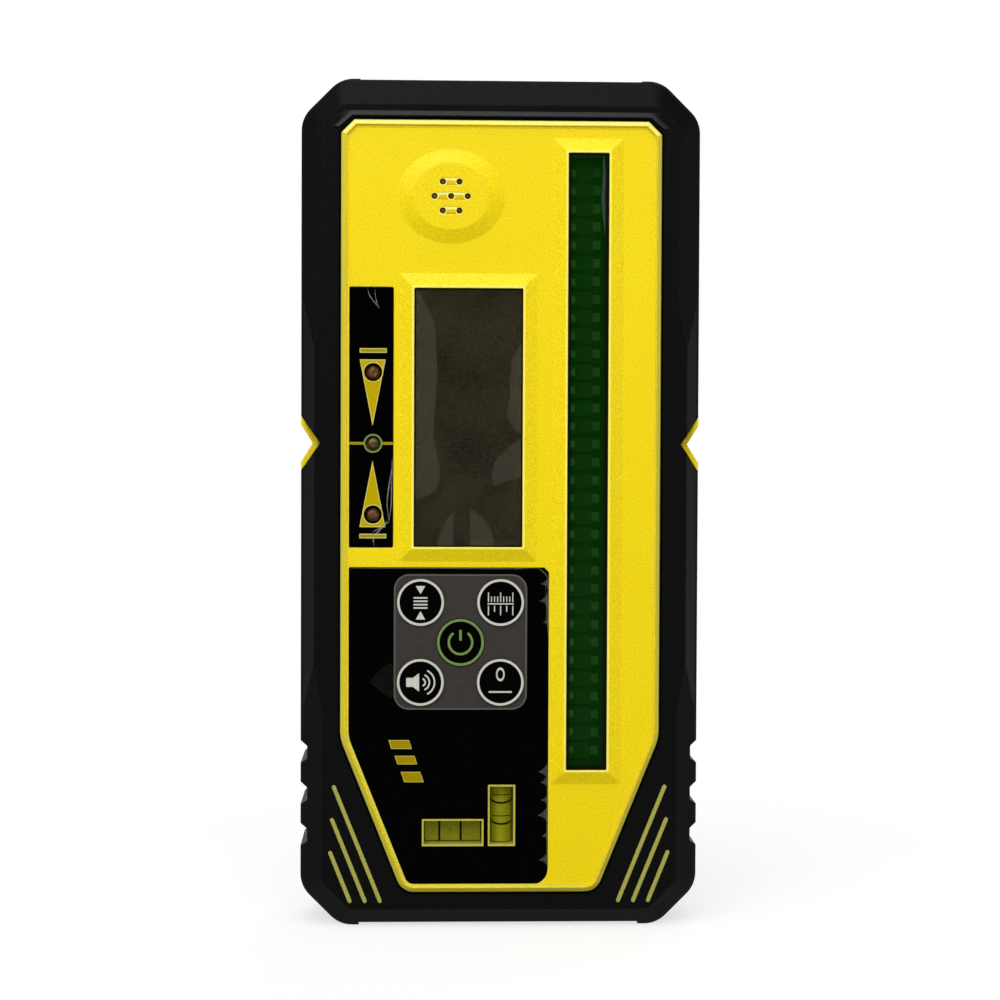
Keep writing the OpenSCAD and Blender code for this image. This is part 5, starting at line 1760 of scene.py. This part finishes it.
        seat("speaker_hole_wells", wells, PAINTED_SHADOW_BLACK, "black_moulding")
        seat("speaker_hole_cloth", plugs, SPEAKER_CLOTH, "black_moulding")


@dataclass
class Springs:
    """The coiled springs of the battery bay, rounder than the frame's."""

    levels: int = 2
    angle: float = 60.0
    merge: float = 0.001

    def build(self) -> None:
        """Rounds a merged copy of the coils and puts it in their place."""
        piece = self.copy("battery_springs")
        Bench.modify(piece, "SUBSURF", levels=self.levels, render_levels=self.levels)
        Bench.smooth(piece, self.angle)
        seat("battery_spring_coils", [piece], ZINC, "zinc_steel", "casing", "battery_springs")

    def copy(self, node: str) -> Object:
        """Makes a merged copy of a node's mesh.

        Args:
            node: The node's name.

        Returns:
            The copy, free of the node's body.
        """
        Bench.take(frame["nodes"][node])
        bpy.ops.object.duplicate()
        piece = bpy.context.object
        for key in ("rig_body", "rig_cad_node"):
            if key in piece:
                del piece[key]
        piece.parent = None
        piece.matrix_world = Matrix.Identity(4)
        piece.data.materials.clear()
        Bench.edit(piece)
        bpy.ops.mesh.customdata_custom_splitnormals_clear()
        bpy.ops.mesh.remove_doubles(threshold=self.merge * MM)
        bpy.ops.object.mode_set(mode="OBJECT")
        return piece


@dataclass
class Studio:
    """A pale floor, soft lamps and the camera."""

    lens: float = 82.42
    sensor: float = 36.0
    clip: float = 0.01
    eye: tuple[float, float, float] = (-16.69, -464.0, 97.22)
    pan: float = -2.10
    tilt: float = -1.56
    roll: float = -0.23
    floor_size: float = 12.0
    floor_fade: Point = (0.05, 0.2)
    floor_least: float = 0.7
    paper: str = "#F4F4F2"
    bounce: str = "#A0A0A0"
    white: str = "#FFFFFF"
    surround: str = "#F6F8FB"
    surround_power: float = 0.15
    surround_range: Span = (-0.5, 0.15, 0.06, 0.6)
    aim: tuple[float, float, float] = (0.0, 0.0, 0.085)
    lamps: tuple[tuple[str, tuple[float, float, float], float, float], ...] = (
        ("softbox_top", (-0.15, -0.75, 0.78), 0.9, 10.5),
        ("softbox_over", (-0.1, -0.12, 1.1), 0.6, 4.0),
        ("softbox_left", (-1.0, -0.6, 0.3), 0.7, 1.6),
        ("softbox_right", (1.0, -0.6, 0.3), 0.7, 2.4),
        ("softbox_back", (0.35, 0.95, 0.9), 0.8, 6.0))

    def build(self) -> None:
        """Builds the floor, the world, the lamps and the camera."""
        self.floor()
        self.world()
        for name, at, size, power in self.lamps:
            self.lamp(name, at, size, power)
        self.camera()
        bpy.context.scene.view_settings.view_transform = "Standard"

    def mix(self, weave: Weave, share: Socket, one: Node, other: Node) -> Inputs:
        """Gives an output's input, with two shaders mixed by a share of the second."""
        return {"Surface": weave.add("MixShader", {
            0: share, 1: one.outputs[0], 2: other.outputs[0]}).outputs[0]}

    def seen(self, weave: Weave) -> Socket:
        """Tests for the rays that show the background.

        Args:
            weave: The nodes to add to.

        Returns:
            One for camera, glossy and transmission rays.
        """
        rays = weave.add("LightPath").outputs
        return weave.reckon("MAXIMUM", weave.reckon(
            "MAXIMUM", rays["Is Camera Ray"], rays["Is Glossy Ray"]), rays["Is Transmission Ray"])

    def floor(self) -> None:
        """Makes the floor: matt near the receiver, where its shadow lies, and white beyond."""
        floor = Bench.start(bpy.ops.mesh.primitive_plane_add, size=self.floor_size)
        floor.name = floor.data.name = "studio_floor"
        made = bpy.data.materials.new("paper_matt_white")
        made.use_nodes = True
        weave = Weave(made.node_tree)
        reach = weave.vector("LENGTH", weave.place())["Value"]
        far = weave.fit(reach, *self.floor_fade, self.floor_least,
                        interpolation_type="SMOOTHSTEP")
        shown = weave.reckon("MULTIPLY", far, self.seen(weave))
        diffuse = weave.add("LightPath").outputs["Is Diffuse Ray"]
        paper = weave.add("BsdfDiffuse", {"Color": weave.blend(diffuse, self.paper, self.bounce)})
        white = weave.add("Emission", {"Color": linear(self.white), "Strength": 1.0})
        weave.add("OutputMaterial", self.mix(weave, shown, paper, white))
        floor.data.materials.append(made)

    def world(self) -> None:
        """Makes the surround: white behind the receiver, dim on the camera's side."""
        world = bpy.data.worlds.new("studio_surround")
        bpy.context.scene.world = world
        world.use_nodes = True
        weave = Weave(world.node_tree)
        way = weave.add("TexCoord").outputs["Generated"]
        behind = weave.add("SeparateXYZ", {"Vector": way}).outputs["Y"]
        level = weave.fit(behind, *self.surround_range)
        camera = weave.add("LightPath").outputs["Is Camera Ray"]
        soft = weave.add("Background", {
            "Color": linear(self.surround), "Strength": self.surround_power})
        white = weave.add("Background", {
            "Color": linear(self.white), "Strength": weave.reckon("MAXIMUM", camera, level)})
        weave.add("OutputWorld", self.mix(weave, self.seen(weave), soft, white))

    def lamp(self, name: str, at: Sequence[float], size: float, power: float) -> None:
        """Adds a soft lamp aimed at the receiver.

        Args:
            name: The lamp's name.
            at: Its place in metres.
            size: Its side in metres.
            power: Its power in watts.
        """
        light = bpy.data.lights.new(name, "AREA")
        light.size = size
        light.energy = power
        lamp = bpy.data.objects.new(name, light)
        bpy.context.scene.collection.objects.link(lamp)
        lamp.location = at
        way = Vector(self.aim) - Vector(at)
        lamp.rotation_euler = way.to_track_quat("-Z", "Y").to_euler()

    def camera(self) -> None:
        """Sets up the camera at the photograph's viewing angle."""
        lens = bpy.data.cameras.new("studio_camera")
        lens.lens = self.lens
        lens.sensor_width = self.sensor
        lens.clip_start = self.clip
        lens.dof.use_dof = False
        camera = bpy.data.objects.new("studio_camera", lens)
        bpy.context.scene.collection.objects.link(camera)
        turn = (Matrix.Rotation(math.radians(self.pan), 3, "Z")
                @ Matrix.Rotation(math.radians(self.tilt), 3, "X")
                @ Matrix.Rotation(math.radians(self.roll), 3, "Y"))
        right, ahead, up = turn.col[0], turn.col[1], turn.col[2]
        facing = Matrix((right, up, -ahead)).transposed().to_4x4()
        camera.matrix_world = Matrix.Translation(Vector(self.eye) * MM) @ facing
        bpy.context.scene.camera = camera


def dress_nodes() -> None:
    """Gives every node of the frame its finish."""
    for name, node in frame["nodes"].items():
        if name in NODE_FINISHES:
            node.data.materials.clear()
            node.data.materials.append(NODE_FINISHES[name].material())
            LOG.info("%s: %s", name, NODE_FINISHES[name].name)


def main() -> None:
    """Builds the receiver's looks in order."""
    logging.basicConfig(level=logging.INFO, format="%(message)s")
    dress_nodes()
    for assembly in (LampStrip(), KeyPrints(), LabelMarks(), VialMarks(), Films(), Edges(),
                     Springs(), Studio()):
        assembly.build()


if __name__ == "__main__":
    main()
